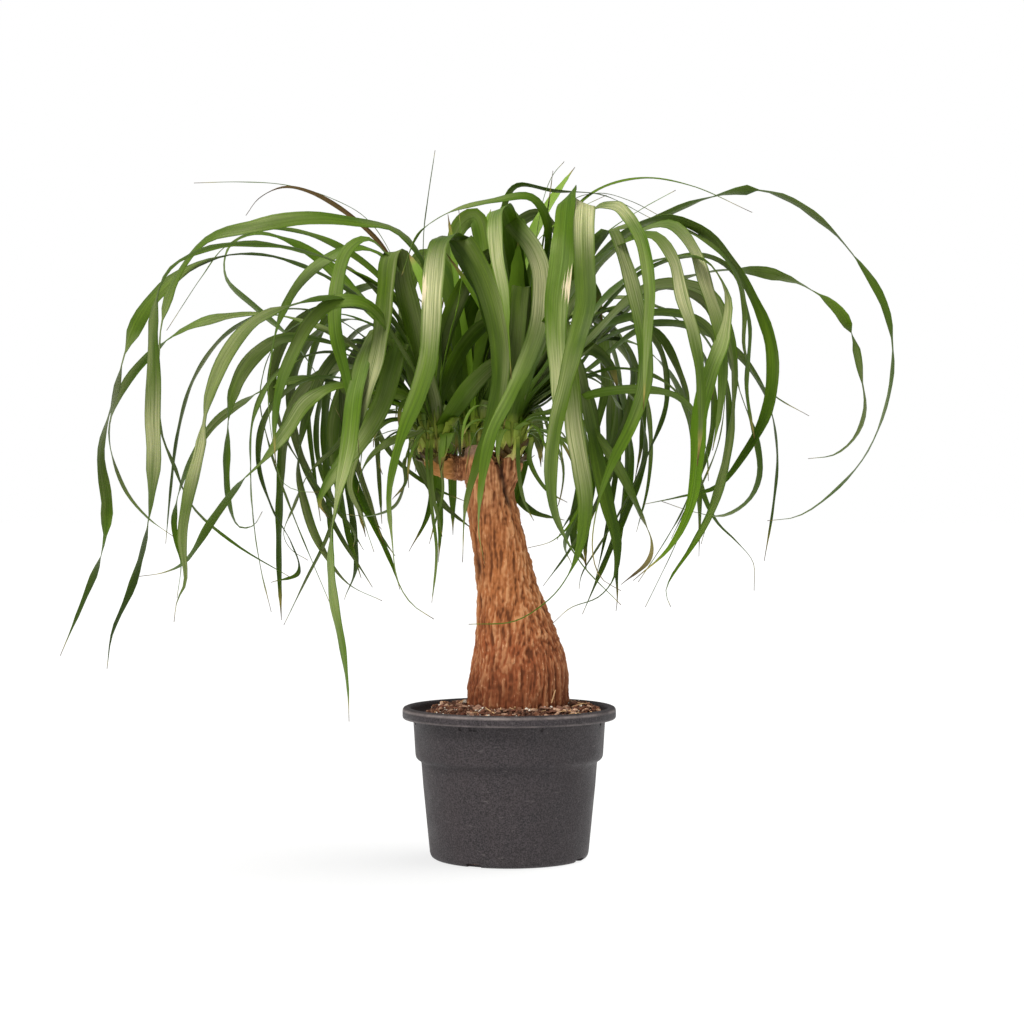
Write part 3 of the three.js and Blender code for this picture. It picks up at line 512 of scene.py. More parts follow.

# %% [markdown]
# The plastic is charcoal, never a pure black. It has a fine moulded grain, a faint warm film of dust in
# broad patches and pale scuffs. A paler line along the rim's upper and lower edges is partly rubbed plastic
# and partly a painted highlight where those edges catch the light. These edges are found from the height
# and the distance to the pot's axis, in metres.

# %% Finish of the plastic
RIM_SIDE = (0.1025, 0.1045)
LOWER_RUB_AND_HIGHLIGHT = (0.1381, 0.0014)
UPPER_RUB_AND_HIGHLIGHT = (0.1458, 0.0020)


def band(tree, value, centre, half_width):
    """1 at a value, and down to 0 at half a width away on either side."""
    off = put(tree, "Math", {0: combine(tree, value, centre, "SUBTRACT")}, operation="ABSOLUTE").outputs[0]
    return reach(tree, off, half_width, 0.0)


material, tree, shader, place = new_finish("moulded_plastic")
height = put(tree, "SeparateXYZ", {0: place}).outputs["Z"]
level_place = stretch(tree, place, (1, 1, 0))
from_axis = put(tree, "VectorMath", {0: level_place}, operation="LENGTH").outputs["Value"]
patches = effect(tree, mottle_group, place, Scale=26.0)
colour = tint(tree, patches, paint("1a1719"), paint("221e20"))
film = effect(tree, mottle_group, stretch(tree, place, (1, 1, 0.5)), Scale=55.0)
colour = layer(tree, colour, "342c2b", film, 0.35)
grain = cloud(tree, place, 680.0, 3.0, 0.7)
colour = layer(tree, colour, "484144", reach(tree, grain, 0.42, 0.6, 0.0, 0.8))
specks = effect(tree, grit_group, place, Scale=900.0, Threshold=0.62)
colour = layer(tree, colour, "615c5b", specks, 0.35)
scuffs = effect(tree, grit_group, stretch(tree, place, (1, 1, 2.5)), Scale=130.0, Threshold=0.68)
colour = layer(tree, colour, "8b8381", scuffs, 0.16)
# Painted highlight, partly real rubbing: a paler line along the rim's upper and lower edges, where they
# catch the light.
rub_and_highlight = effect(tree, mottle_group, place, Scale=48.0)
rub_and_highlight = combine(tree, reach(tree, rub_and_highlight, 0.0, 1.0, 0.25, 0.9), reach(tree, from_axis, *RIM_SIDE))
lower_rub_and_highlight = combine(tree, combine(tree, rub_and_highlight, 0.55), band(tree, height, *LOWER_RUB_AND_HIGHLIGHT))
upper_rub_and_highlight = combine(tree, rub_and_highlight, band(tree, height, *UPPER_RUB_AND_HIGHLIGHT))
colour = layer(tree, colour, "8f8481", combine(tree, lower_rub_and_highlight, upper_rub_and_highlight, "MAXIMUM"))
rough_plastic = bump(tree, cloud(tree, place, 60.0, 2.0), 0.0006, 0.5)
settings = {
    "Base Color": colour,
    "Roughness": reach(tree, patches, 0.0, 1.0, 0.46, 0.6),
    "Specular IOR Level": 0.32,
    "Normal": bump(tree, grain, 0.0005, 0.7, rough_plastic),
}
feed(tree, shader, settings)
pot.data.materials.append(material)
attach(pot, "root")
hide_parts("pot")
print("pot finish:", len(tree.nodes), "nodes")

# %% [markdown]
# ## The trunk
# The trunk swells at the foot, where the plant stores water, and leans to the left as it narrows.
# It was once topped, and three short stubs grew from below the cut. Each carries a head of leaves.
# The rows are its outline from the front: height, left edge and right edge. The lowest rows stand in the
# soil. The bark moves the surface later, so the form under it is kept smooth.

# %% Stack the trunk's rings and the stubs
TRUNK_OUTLINE = [
    [100, -30, 44],
    [124, -38, 52],
    [148, -42.4, 57.4],
    [164, -41, 58],
    [180, -38.4, 57.8],
    [197, -35.2, 55.1],
    [213, -32.7, 49.6],
    [230, -32, 43.6],
    [246, -31.6, 36.6],
    [262, -31, 29.4],
    [280, -33, 24],
    [300, -34.5, 19],
    [320, -38.5, 14],
    [340, -40.5, 9],
    [360, -40.5, 4],
    [376, -41, 2],
    [388, -42.5, -2],
    [397, -44, -13],
    [405, -43, -24],
]
TRUNK_SIDES = 40
DEPTH_SHARE = 0.96
HEADS = {
    "left": {"x": -73, "y": 4, "z": 393, "stub": [(-24, 4, 378), (-46, 5, 383), (-66, 4, 384)]},
    "right": {"x": 1, "y": -11, "z": 394, "stub": [(-12, 0, 346), (-6, -6, 366), (-1, -10, 380)]},
    "back": {"x": -36, "y": 58, "z": 396, "stub": [(-24, 8, 350), (-31, 32, 369), (-36, 54, 384)]},
}
STUB_START = 12.0
STUB_END = 11.5
STUB_STRAIGHT = 6


def trunk_rings(rows, grow=0.0):
    rings = []
    for z, left, right in rows:
        half = (right - left) / 2 + grow
        rings.append(((left + right) / 2, 0, z, half, half * DEPTH_SHARE))
    return rings


def stub(head):
    """A short branch: a path through its points, given a round section that narrows to its head."""
    clear_selection()
    bpy.ops.curve.primitive_nurbs_path_add(location=(0, 0, 0))
    path = bpy.context.object
    x, y, z = head["x"], head["y"], head["z"]
    line = [*head["stub"], (x, y, z - STUB_STRAIGHT), (x, y, z)]
    for i, (knot, spot) in enumerate(zip(path.data.splines[0].points, line)):
        knot.co = (*[v * MM for v in spot], 1.0)
        knot.radius = mix(STUB_START, STUB_END, i / (len(line) - 1))
    path.data.bevel_depth = MM
    path.data.bevel_resolution = 6
    path.data.use_fill_caps = True
    pick(path)
    bpy.ops.object.convert(target="MESH")
    return bpy.context.object


trunk = stack_rings("trunk_bark", trunk_rings(TRUNK_OUTLINE), TRUNK_SIDES)
apply_modifier(trunk, "SUBSURF", levels=2, render_levels=2)
stubs = [stub(head) for head in HEADS.values()]
pick(trunk)
for branch in stubs:
    branch.select_set(True)
bpy.ops.object.join()
tell(trunk)

# %% [markdown]
# Joined pieces still pass through each other. A voxel remesh melts them into one skin, and a little
# smoothing fills the forks, as wood does where a branch leaves a stem.

# %% Melt the stubs into the trunk
BARK_VOXEL = 1.12

apply_modifier(trunk, "REMESH", mode="VOXEL", voxel_size=BARK_VOXEL * MM)
apply_modifier(trunk, "SMOOTH", factor=0.5, iterations=5)
tell(trunk)

# %% [markdown]
# The bark is cork that splits as the trunk swells. It stands in narrow upright ridges between wandering
# cracks, with scattered knobs. The cracks run along the growth, so they are upright on the trunk and
# turn sideways on the left stub. A noise field that is stretched along the growth gives such cracks where
# it is low and ridges where it is high. The relief is kept as an attribute, so the colour follows it.

# %% Crack the bark
CRACK_WIDTH = 3.0
CRACK_LENGTH = 54.0
CORK_DEPTH = 3.04
LUMP_SIZE = 15.0
LUMP_HEIGHT = 0.9
DRIFT_SIZE = 30.0
KNOB_SIZE = 2.3
HOLLOW_DEPTH = 2.6
SCAR = (-31.0, -9.0, 287.0)
SCAR_SIZE = (6.0, 7.0, 12.0)
CREASE = ((-12.0, 397.0), (-8.0, 376.0), (-3.0, 358.0), (3.0, 338.0))
CREASE_WIDTH = 2.2
SIDEWAYS_FROM = (-46, 362)


def grown_place(x, y, z):
    """A bark point with its length along the growth shortened, so that noise stretches along it."""
    sideways = clamp01((SIDEWAYS_FROM[0] - x) / 10) * clamp01((z - SIDEWAYS_FROM[1]) / 8)
    squeeze = CRACK_WIDTH / CRACK_LENGTH
    upright = Vector((x, y, z * squeeze))
    lying = Vector((x * squeeze + 40, y, z))
    return upright.lerp(lying, sideways) / CRACK_WIDTH


def bark_relief(x, y, z):
    """How far the bark stands out, from 0 in a crack to 1 on a ridge."""
    spot = grown_place(x, y, z)
    drift = noise.noise_vector(Vector((x, y, z)) / DRIFT_SIZE) * 0.9
    wide = 0.5 + noise.noise(spot * 0.95 + drift)
    fine = 0.5 + noise.noise(spot * 2.1 + drift * 1.6 + Vector((17, 3, 9)))
    knobs = noise.noise(Vector((x, y, z * 0.55)) / KNOB_SIZE)
    return clamp01(0.58 * wide + 0.42 * fine + 0.3 * knobs)


def crease_depth(x, y, z):
    """The dark fold between the old cut and the right stub, on the front of the trunk."""
    if y > 2 or not CREASE[-1][1] < z < CREASE[0][1]:
        return 0.0
    line_x = np.interp(-z, [-row[1] for row in CREASE], [row[0] for row in CREASE])
    ends = clamp01((z - CREASE[-1][1]) / 12)
    return ends * math.exp(-(((x - line_x) / CREASE_WIDTH) ** 2))


def scar_depth(x, y, z):
    """A small hollow where an old leaf tore away."""
    off = sum(((a - b) / size) ** 2 for a, b, size in zip((x, y, z), SCAR, SCAR_SIZE))
    return math.exp(-off)


def give(mesh, name, values):
    """Stores a number or a vector for each point of a mesh."""
    kind, field = ("FLOAT", "value") if values.ndim == 1 else ("FLOAT_VECTOR", "vector")
    stored = mesh.attributes.new(name, kind, "POINT").data
    stored.foreach_set(field, values.astype(np.float32).ravel())


count = len(trunk.data.vertices)
spots = np.zeros(count * 3)
normals = np.zeros(count * 3)
trunk.data.vertices.foreach_get("co", spots)
trunk.data.vertices.foreach_get("normal", normals)
spots = spots.reshape(-1, 3) / MM
normals = normals.reshape(-1, 3)
relief = np.array([bark_relief(*spot) for spot in spots])
shade = np.array([max(crease_depth(*spot), scar_depth(*spot)) for spot in spots])
lumps = np.array([noise.noise(Vector(spot) / LUMP_SIZE) for spot in spots])
stand = (relief - 0.5) * CORK_DEPTH + lumps * LUMP_HEIGHT - shade * HOLLOW_DEPTH
moved = (spots + normals * stand[:, None]) * MM
trunk.data.vertices.foreach_set("co", moved.ravel())
trunk.data.update()
give(trunk.data, "relief", relief)
give(trunk.data, "shade", shade)
give(trunk.data, "grain_place", np.array([grown_place(*spot) for spot in spots]))
pick(trunk)
bpy.ops.object.shade_smooth()
tell(trunk)

# %% [markdown]
# The cork is orange-brown in the middle, darker red-brown towards the foot, and tan towards the top.
# Its right side, away from the key light, is painted darker and redder as painted shade.
# Cracks are painted dark as painted shade in the recesses. Ridges are paler with buff flecks where the cork
# has worn, and their tops are lightened further as a painted highlight. The old cut is grey.
# The stubs' ends, just under the leaves, keep the orange of freshly formed husk. Each zone is found by its
# place, in metres, and cloudy noise makes the heights waver, so that no zone ends in a straight line.

# %% Finish of the bark
DARKER_FOOT_TOP = (0.150, 0.205)
MIDDLE_TOP = (0.205, 0.265)
TAN_FROM = (0.310, 0.375)
material, tree, shader, place = new_finish("corky_bark")
along_grain = attribute(tree, "grain_place", "Vector")
relief_value = attribute(tree, "relief")
parts = put(tree, "SeparateXYZ", {0: place}).outputs
height = combine(tree, parts["Z"], reach(tree, cloud(tree, place, 40.0), 0.3, 0.7, -0.012, 0.012), "ADD")
colour = tint(tree, reach(tree, height, *DARKER_FOOT_TOP), paint("6e351b"), paint("964b26"))
colour = layer(tree, colour, "b46c3a", reach(tree, height, *MIDDLE_TOP))
colour = layer(tree, colour, "a86e48", reach(tree, height, *TAN_FROM))
# Painted shade: the trunk's right side, away from the key light, is painted darker and redder.
colour = layer(tree, colour, "7f4424", reach(tree, parts["X"], 0.006, 0.05), 0.5)
patches = effect(tree, mottle_group, place, Scale=70.0)
colour = layer(tree, colour, "7c4326", patches, 0.4)
worn = reach(tree, height, 0.150, 0.250, 0.3, 1.0)
streaks = effect(tree, fibre_group, along_grain, Scale=1.5)
colour = layer(tree, colour, "c68654", streaks, worn, 0.35)
# Ridge tops painted paler: partly worn cork, partly a painted highlight on the raised relief.
ridge_wear_and_highlight = reach(tree, relief_value, 0.52, 0.82)
colour = layer(tree, colour, "e2a774", ridge_wear_and_highlight, worn, 0.6)
flecks = effect(tree, grit_group, stretch(tree, place, (1.0, 1.0, 0.55)), Scale=420.0, Threshold=0.62)
colour = layer(tree, colour, "e3b184", flecks, reach(tree, relief_value, 0.4, 0.7), 0.5)
# Painted shade: the cracks, low in the relief, are painted dark.
crack = reach(tree, relief_value, 0.44, 0.14)
colour = layer(tree, colour, "4f2914", crack, 0.75)
cut_right = reach(tree, parts["X"], -0.016, -0.026)
cut_left = reach(tree, parts["X"], -0.052, -0.047)
colour = layer(tree, colour, "85705e", cut_right, reach(tree, parts["Z"], 0.391, 0.397), cut_left, 0.8)
husk = reach(tree, parts["X"], -0.052, -0.060)
colour = layer(tree, colour, "cf9250", husk, reach(tree, parts["Z"], 0.360, 0.366), 0.75)
colour = layer(tree, colour, "2a150b", attribute(tree, "shade"), 0.9)
bark_normal = bump(tree, cloud(tree, along_grain, 3.2, 5.0, 0.7), 0.0011, 0.8)
settings = {
    "Base Color": colour,
    "Roughness": reach(tree, relief_value, 0.0, 1.0, 0.95, 0.68),
    "Specular IOR Level": 0.3,
    "Normal": bump(tree, cloud(tree, place, 620.0, 3.0), 0.0004, 0.5, bark_normal),
}
feed(tree, shader, settings)
trunk.data.materials.append(material)
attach(trunk, "root")
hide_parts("trunk")
print("bark finish:", len(tree.nodes), "nodes")

# %% [markdown]
# ## The soil
# Potting mix fills the pot to a finger's width under the rim and rises where it was heaped at the trunk.
# One closed body fills the pot. Its top has many rings, so that a height rule can make it lumpy, and a
# plain hole lets the buried end of the trunk in. Five small piles lie where the photograph shows them:
# each row gives a pile's place, its width and its height.

# %% Fill the pot
SOIL_SIDES = 132
SOIL_EDGE = 137.5
SOIL_HEAP = 148.5
HEAP_RADIUS = 58.0
SOIL_RADIUS = 91.8
TOP_RINGS = 36
RING_STEP = 1.7
FOOT_X = 7.5
HOLE_SIDES = 48
HOLE_GAP = 0.9
SOIL_PILES = (
    (-57, 2, 10, 4.6),
    (-73, 10, 9, 4.2),
    (71, 6, 13, 2.4),
    (-20, -66, 12, 1.6),
    (48, -60, 11, 1.8),
)


def soil_height(x, y):
    """The height of the soil's surface at a place, in millimetres."""
    off = math.hypot((x - FOOT_X) * 0.92, y)
    heap = smooth(clamp01((SOIL_RADIUS - off) / (SOIL_RADIUS - HEAP_RADIUS)))
    lumps = noise.noise(Vector((x, y, 4)) / 13.0) * 3.4 + noise.noise(Vector((x, y, 9)) / 4.2) * 1.1
    piled = 0.0
    for pile_x, pile_y, wide, tall in SOIL_PILES:
        piled += tall * math.exp(-((x - pile_x) ** 2 + (y - pile_y) ** 2) / wide**2)
    return mix(SOIL_EDGE, SOIL_HEAP, heap) + lumps * (0.6 + 0.4 * heap) + piled


soil_side = [(1, 2.55), (71.65, 2.55), (75.85, 7.2), (83.9, 93), (84.2, 94.8), (89.8, 102)]
soil_side += [(SOIL_RADIUS, 133)]
soil_top = [(SOIL_RADIUS - RING_STEP * i, SOIL_EDGE) for i in range(TOP_RINGS)]
soil = turned("soil_fill", [*soil_side, *soil_top, (1, SOIL_EDGE)], SOIL_SIDES)
for vertex in soil.data.vertices:
    if vertex.co.z > (SOIL_EDGE - 1) * MM:
        vertex.co.z = soil_height(vertex.co.x / MM, vertex.co.y / MM) * MM
hole_rows = [[99.6, -30, 44], *TRUNK_OUTLINE[1:5]]
cut_away(soil, [stack_rings("hole", trunk_rings(hole_rows, HOLE_GAP), HOLE_SIDES)])
pick(soil)
bpy.ops.object.shade_smooth()
tell(soil)

# %% [markdown]
# What the eye reads as soil is its loose bits: dark crumbs, flat bark chips, thin straws and white grains
# of perlite. Each kind is modelled once, with few faces, and copied many times with its own turn and size.
# The copies are gathered into one mesh. Each one carries its kind and tone as attributes for the finish.

# %% Model one of each loose bit
CRUMB, CHIP, STRAW, PERLITE = 0.0, 0.35, 0.65, 1.0


def mesh_arrays(piece):
    """The points and faces of a piece, which is then removed."""
    points = np.zeros(len(piece.data.vertices) * 3)
    piece.data.vertices.foreach_get("co", points)
    faces = [tuple(face.vertices) for face in piece.data.polygons]
    bpy.data.objects.remove(piece)
    return points.reshape(-1, 3), faces


def rough_ball(seed, roughness):
    clear_selection()
    bpy.ops.mesh.primitive_ico_sphere_add(subdivisions=1, radius=1.0)
    points, faces = mesh_arrays(bpy.context.object)
    pull = [1 + roughness * noise.noise(Vector(p) * 1.9 + Vector((seed, 0, 0))) for p in points]
    return points * np.array(pull)[:, None], faces


def flat_chip():
    """A sliver of bark: a cube, flattened, with its edges beveled and one end drawn out."""
    clear_selection()
    bpy.ops.mesh.primitive_cube_add(size=2.0)
    chip = bpy.context.object
    apply_modifier(chip, "BEVEL", width=0.35, segments=1)
    points, faces = mesh_arrays(chip)
    points[:, 1] *= 0.62 - 0.22 * points[:, 0]
    points[:, 2] = points[:, 2] * 0.3 + 0.18 * points[:, 0] ** 2
    return points, faces


def thin_straw():
    clear_selection()
    bpy.ops.mesh.primitive_cylinder_add(vertices=6, radius=0.09, depth=2.0, rotation=(0, math.pi / 2, 0))
    straw = bpy.context.object
    settle(straw)
    points, faces = mesh_arrays(straw)
    points[:, 2] += 0.12 * points[:, 0] ** 2
    return points, faces


LOOSE_BITS = {
    CRUMB: [rough_ball(1, 0.8), rough_ball(5, 1.0), rough_ball(9, 0.9)],
    CHIP: [flat_chip()],
    STRAW: [thin_straw()],
    PERLITE: [rough_ball(13, 0.5)],
}
print("faces of each kind:", {kind: len(models[0][1]) for kind, models in LOOSE_BITS.items()})

# %% [markdown]
# The bits lie on the soil between the trunk and the pot's wall, sunk a little into it, and thickest
# against the trunk. One long straw leans there by itself, where the photograph shows it.

# %% Scatter the loose bits
BIT_COUNTS = {CRUMB: 820, CHIP: 560, STRAW: 70, PERLITE: 210}
BIT_SIZES = {CRUMB: (0.9, 2.8), CHIP: (1.1, 4.4), STRAW: (3.0, 8.0), PERLITE: (0.5, 1.5)}
BIT_REACH = 90.5
BIT_EDGE = 91.5
FOOT_WIDTH = 50.5
FOOT_DEPTH = 48.5
BITS_AT_TRUNK = 110
LEANING_STRAW = {"x": 43.5, "y": -38.0, "lift": 12.0, "size": 6.6, "tilts": (0.0, -1.25, 0.4)}


class Gatherer:
    """Gathers many small meshes, with numbers for each point, into one."""

    def __init__(self, *names):
        self.points, self.faces, self.count = [], [], 0
        self.values = {name: [] for name in names}

    def add(self, points, faces, **values):
        self.points.append(points)
        self.faces.extend(tuple(i + self.count for i in face) for face in faces)
        self.count += len(points)
        for name, value in values.items():
            self.values[name].append(np.broadcast_to(value, (len(points), *np.shape(value)[1:])))

    def build(self, name):
        mesh = bpy.data.meshes.new(name)
        mesh.from_pydata((np.vstack(self.points) * MM).tolist(), [], self.faces)
        for title, lists in self.values.items():
            give(mesh, title, np.concatenate(lists))
        piece = bpy.data.objects.new(name, mesh)
        scene.collection.objects.link(piece)
        return piece


def at_trunk(x, y, margin):
    return ((x - FOOT_X) / (FOOT_WIDTH + margin)) ** 2 + (y / (FOOT_DEPTH + margin)) ** 2 < 1


draw = make_draw(29)
loose = Gatherer("kind", "tone")


def lay_bit(kind, x, y, lift, size, tilts):
    models = LOOSE_BITS[kind]
    points, faces = models[int(draw() * len(models))]
    turned_points = points @ np.array(Euler(tilts).to_matrix()).T * size
    place = np.array([x, y, soil_height(x, y) + lift])
    loose.add(turned_points + place, faces, kind=kind, tone=draw())


for kind, wanted in BIT_COUNTS.items():
    laid = 0
    while laid < wanted:
        angle = draw() * math.tau
        off = math.sqrt(draw()) * BIT_REACH
        x, y = off * math.cos(angle), off * math.sin(angle)
        size = mix(*BIT_SIZES[kind], draw() ** 2)
        if at_trunk(x, y, 0.3 * size) or off > BIT_EDGE - size:
            continue
        lean = 0.9 if kind in (CHIP, STRAW) else 3.0
        tilts = (lean * (draw() - 0.5), lean * (draw() - 0.5), draw() * math.tau)
        lay_bit(kind, x, y, size * 0.15, size, tilts)
        laid += 1
for i in range(BITS_AT_TRUNK):
    angle = draw() * math.tau
    x, y = FOOT_X + (FOOT_WIDTH + 1) * math.cos(angle), (FOOT_DEPTH + 1) * math.sin(angle)
    kind = (CRUMB, CRUMB, CHIP, PERLITE)[int(draw() * 4)]
    size = mix(0.9, 2.2, draw())
    lay_bit(kind, x, y, 0.6 + 1.6 * draw(), size, (draw() * 3, draw() * 3, draw() * 6))
lay_bit(STRAW, **LEANING_STRAW)
bits = loose.build("soil_bits")
smooth_by_angle(bits, 40)
tell(bits)

# %% [markdown]
# One finish serves both soil pieces. The soil's own body has no kind, so it reads 0, as the crumbs do.
# The colours step from damp dark brown through rust and tan chips and straw to chalk-white perlite.

# %% Finish of the potting mix


def from_kind(tree, value, kind):
    """1 on the bits of this kind and of the kinds that follow it."""
    return reach(tree, value, kind - 0.1, kind - 0.01)


material, tree, shader, place = new_finish("potting_mix")
kind_value = attribute(tree, "kind")
tone_value = attribute(tree, "tone")
clods = effect(tree, mottle_group, place, Scale=160.0)
colour = tint(tree, clods, paint("27170f"), paint("583729"))
colour = layer(tree, colour, "8f5f46", tone_value, 0.7)
dust = effect(tree, grit_group, place, Scale=650.0, Threshold=0.6)
colour = layer(tree, colour, "b28468", dust, 0.6)
chip_colour = tint(tree, combine(tree, tone_value, tone_value), paint("663c2a"), paint("ecc8a8"))
chip_colour = layer(tree, chip_colour, "84574a", effect(tree, fibre_group, place, Scale=420.0), 0.6)
colour = tint(tree, from_kind(tree, kind_value, CHIP), colour, chip_colour)
colour = layer(tree, colour, "cda679", from_kind(tree, kind_value, STRAW))
colour = layer(tree, colour, "e4dccd", from_kind(tree, kind_value, PERLITE))
settings = {
    "Base Color": colour,
    "Roughness": reach(tree, clods, 0.0, 1.0, 0.78, 0.97),
    "Specular IOR Level": 0.25,
    "Normal": bump(tree, cloud(tree, place, 700.0, 5.0, 0.7), 0.0009, 0.8),
}
feed(tree, shader, settings)
for piece in (soil, bits):
    piece.data.materials.append(material)
    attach(piece, "root")
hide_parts("soil")
print("soil finish:", len(tree.nodes), "nodes")

# %% [markdown]
# ## The leaves
# A ponytail palm's leaf is one long strap. Its base clasps the stem, it rises, arches over and hangs, and
# it thins to a thread that dries brown. Each leaf twists as it hangs, so it shows its face, then its edge.
# All the leaves are one blade, modelled once: a long grid, given a wall. It is closed and thin, with many
# rows, so that it can bend. Each leaf is a copy whose rows are laid along that leaf's own line.
# A shorter blade, with few faces, serves the papery husks at the foot of each head.

# %% Model the blade once


def blade_model(rows, columns):
    """A flat closed strip: each point's place across (-1 to 1), its row, and its side (-0.5 or 0.5)."""
    clear_selection()
    bpy.ops.mesh.primitive_grid_add(x_subdivisions=columns, y_subdivisions=rows, size=2.0)
    strip = bpy.context.object
    apply_modifier(strip, "SOLIDIFY", thickness=1.0, offset=0.0)
    points, faces = mesh_arrays(strip)
    row = np.rint((points[:, 1] + 1) / 2 * rows).astype(int)
    side = np.sign(points[:, 2]) / 2
    return {"across": points[:, 0], "row": row, "side": side, "rows": rows, "faces": faces}


LEAF_MODEL = blade_model(72, 6)
SHORT_MODEL = blade_model(22, 4)
HUSK_MODEL = blade_model(8, 4)
print("faces of a leaf:", len(LEAF_MODEL["faces"]), "- of a husk:", len(HUSK_MODEL["faces"]))
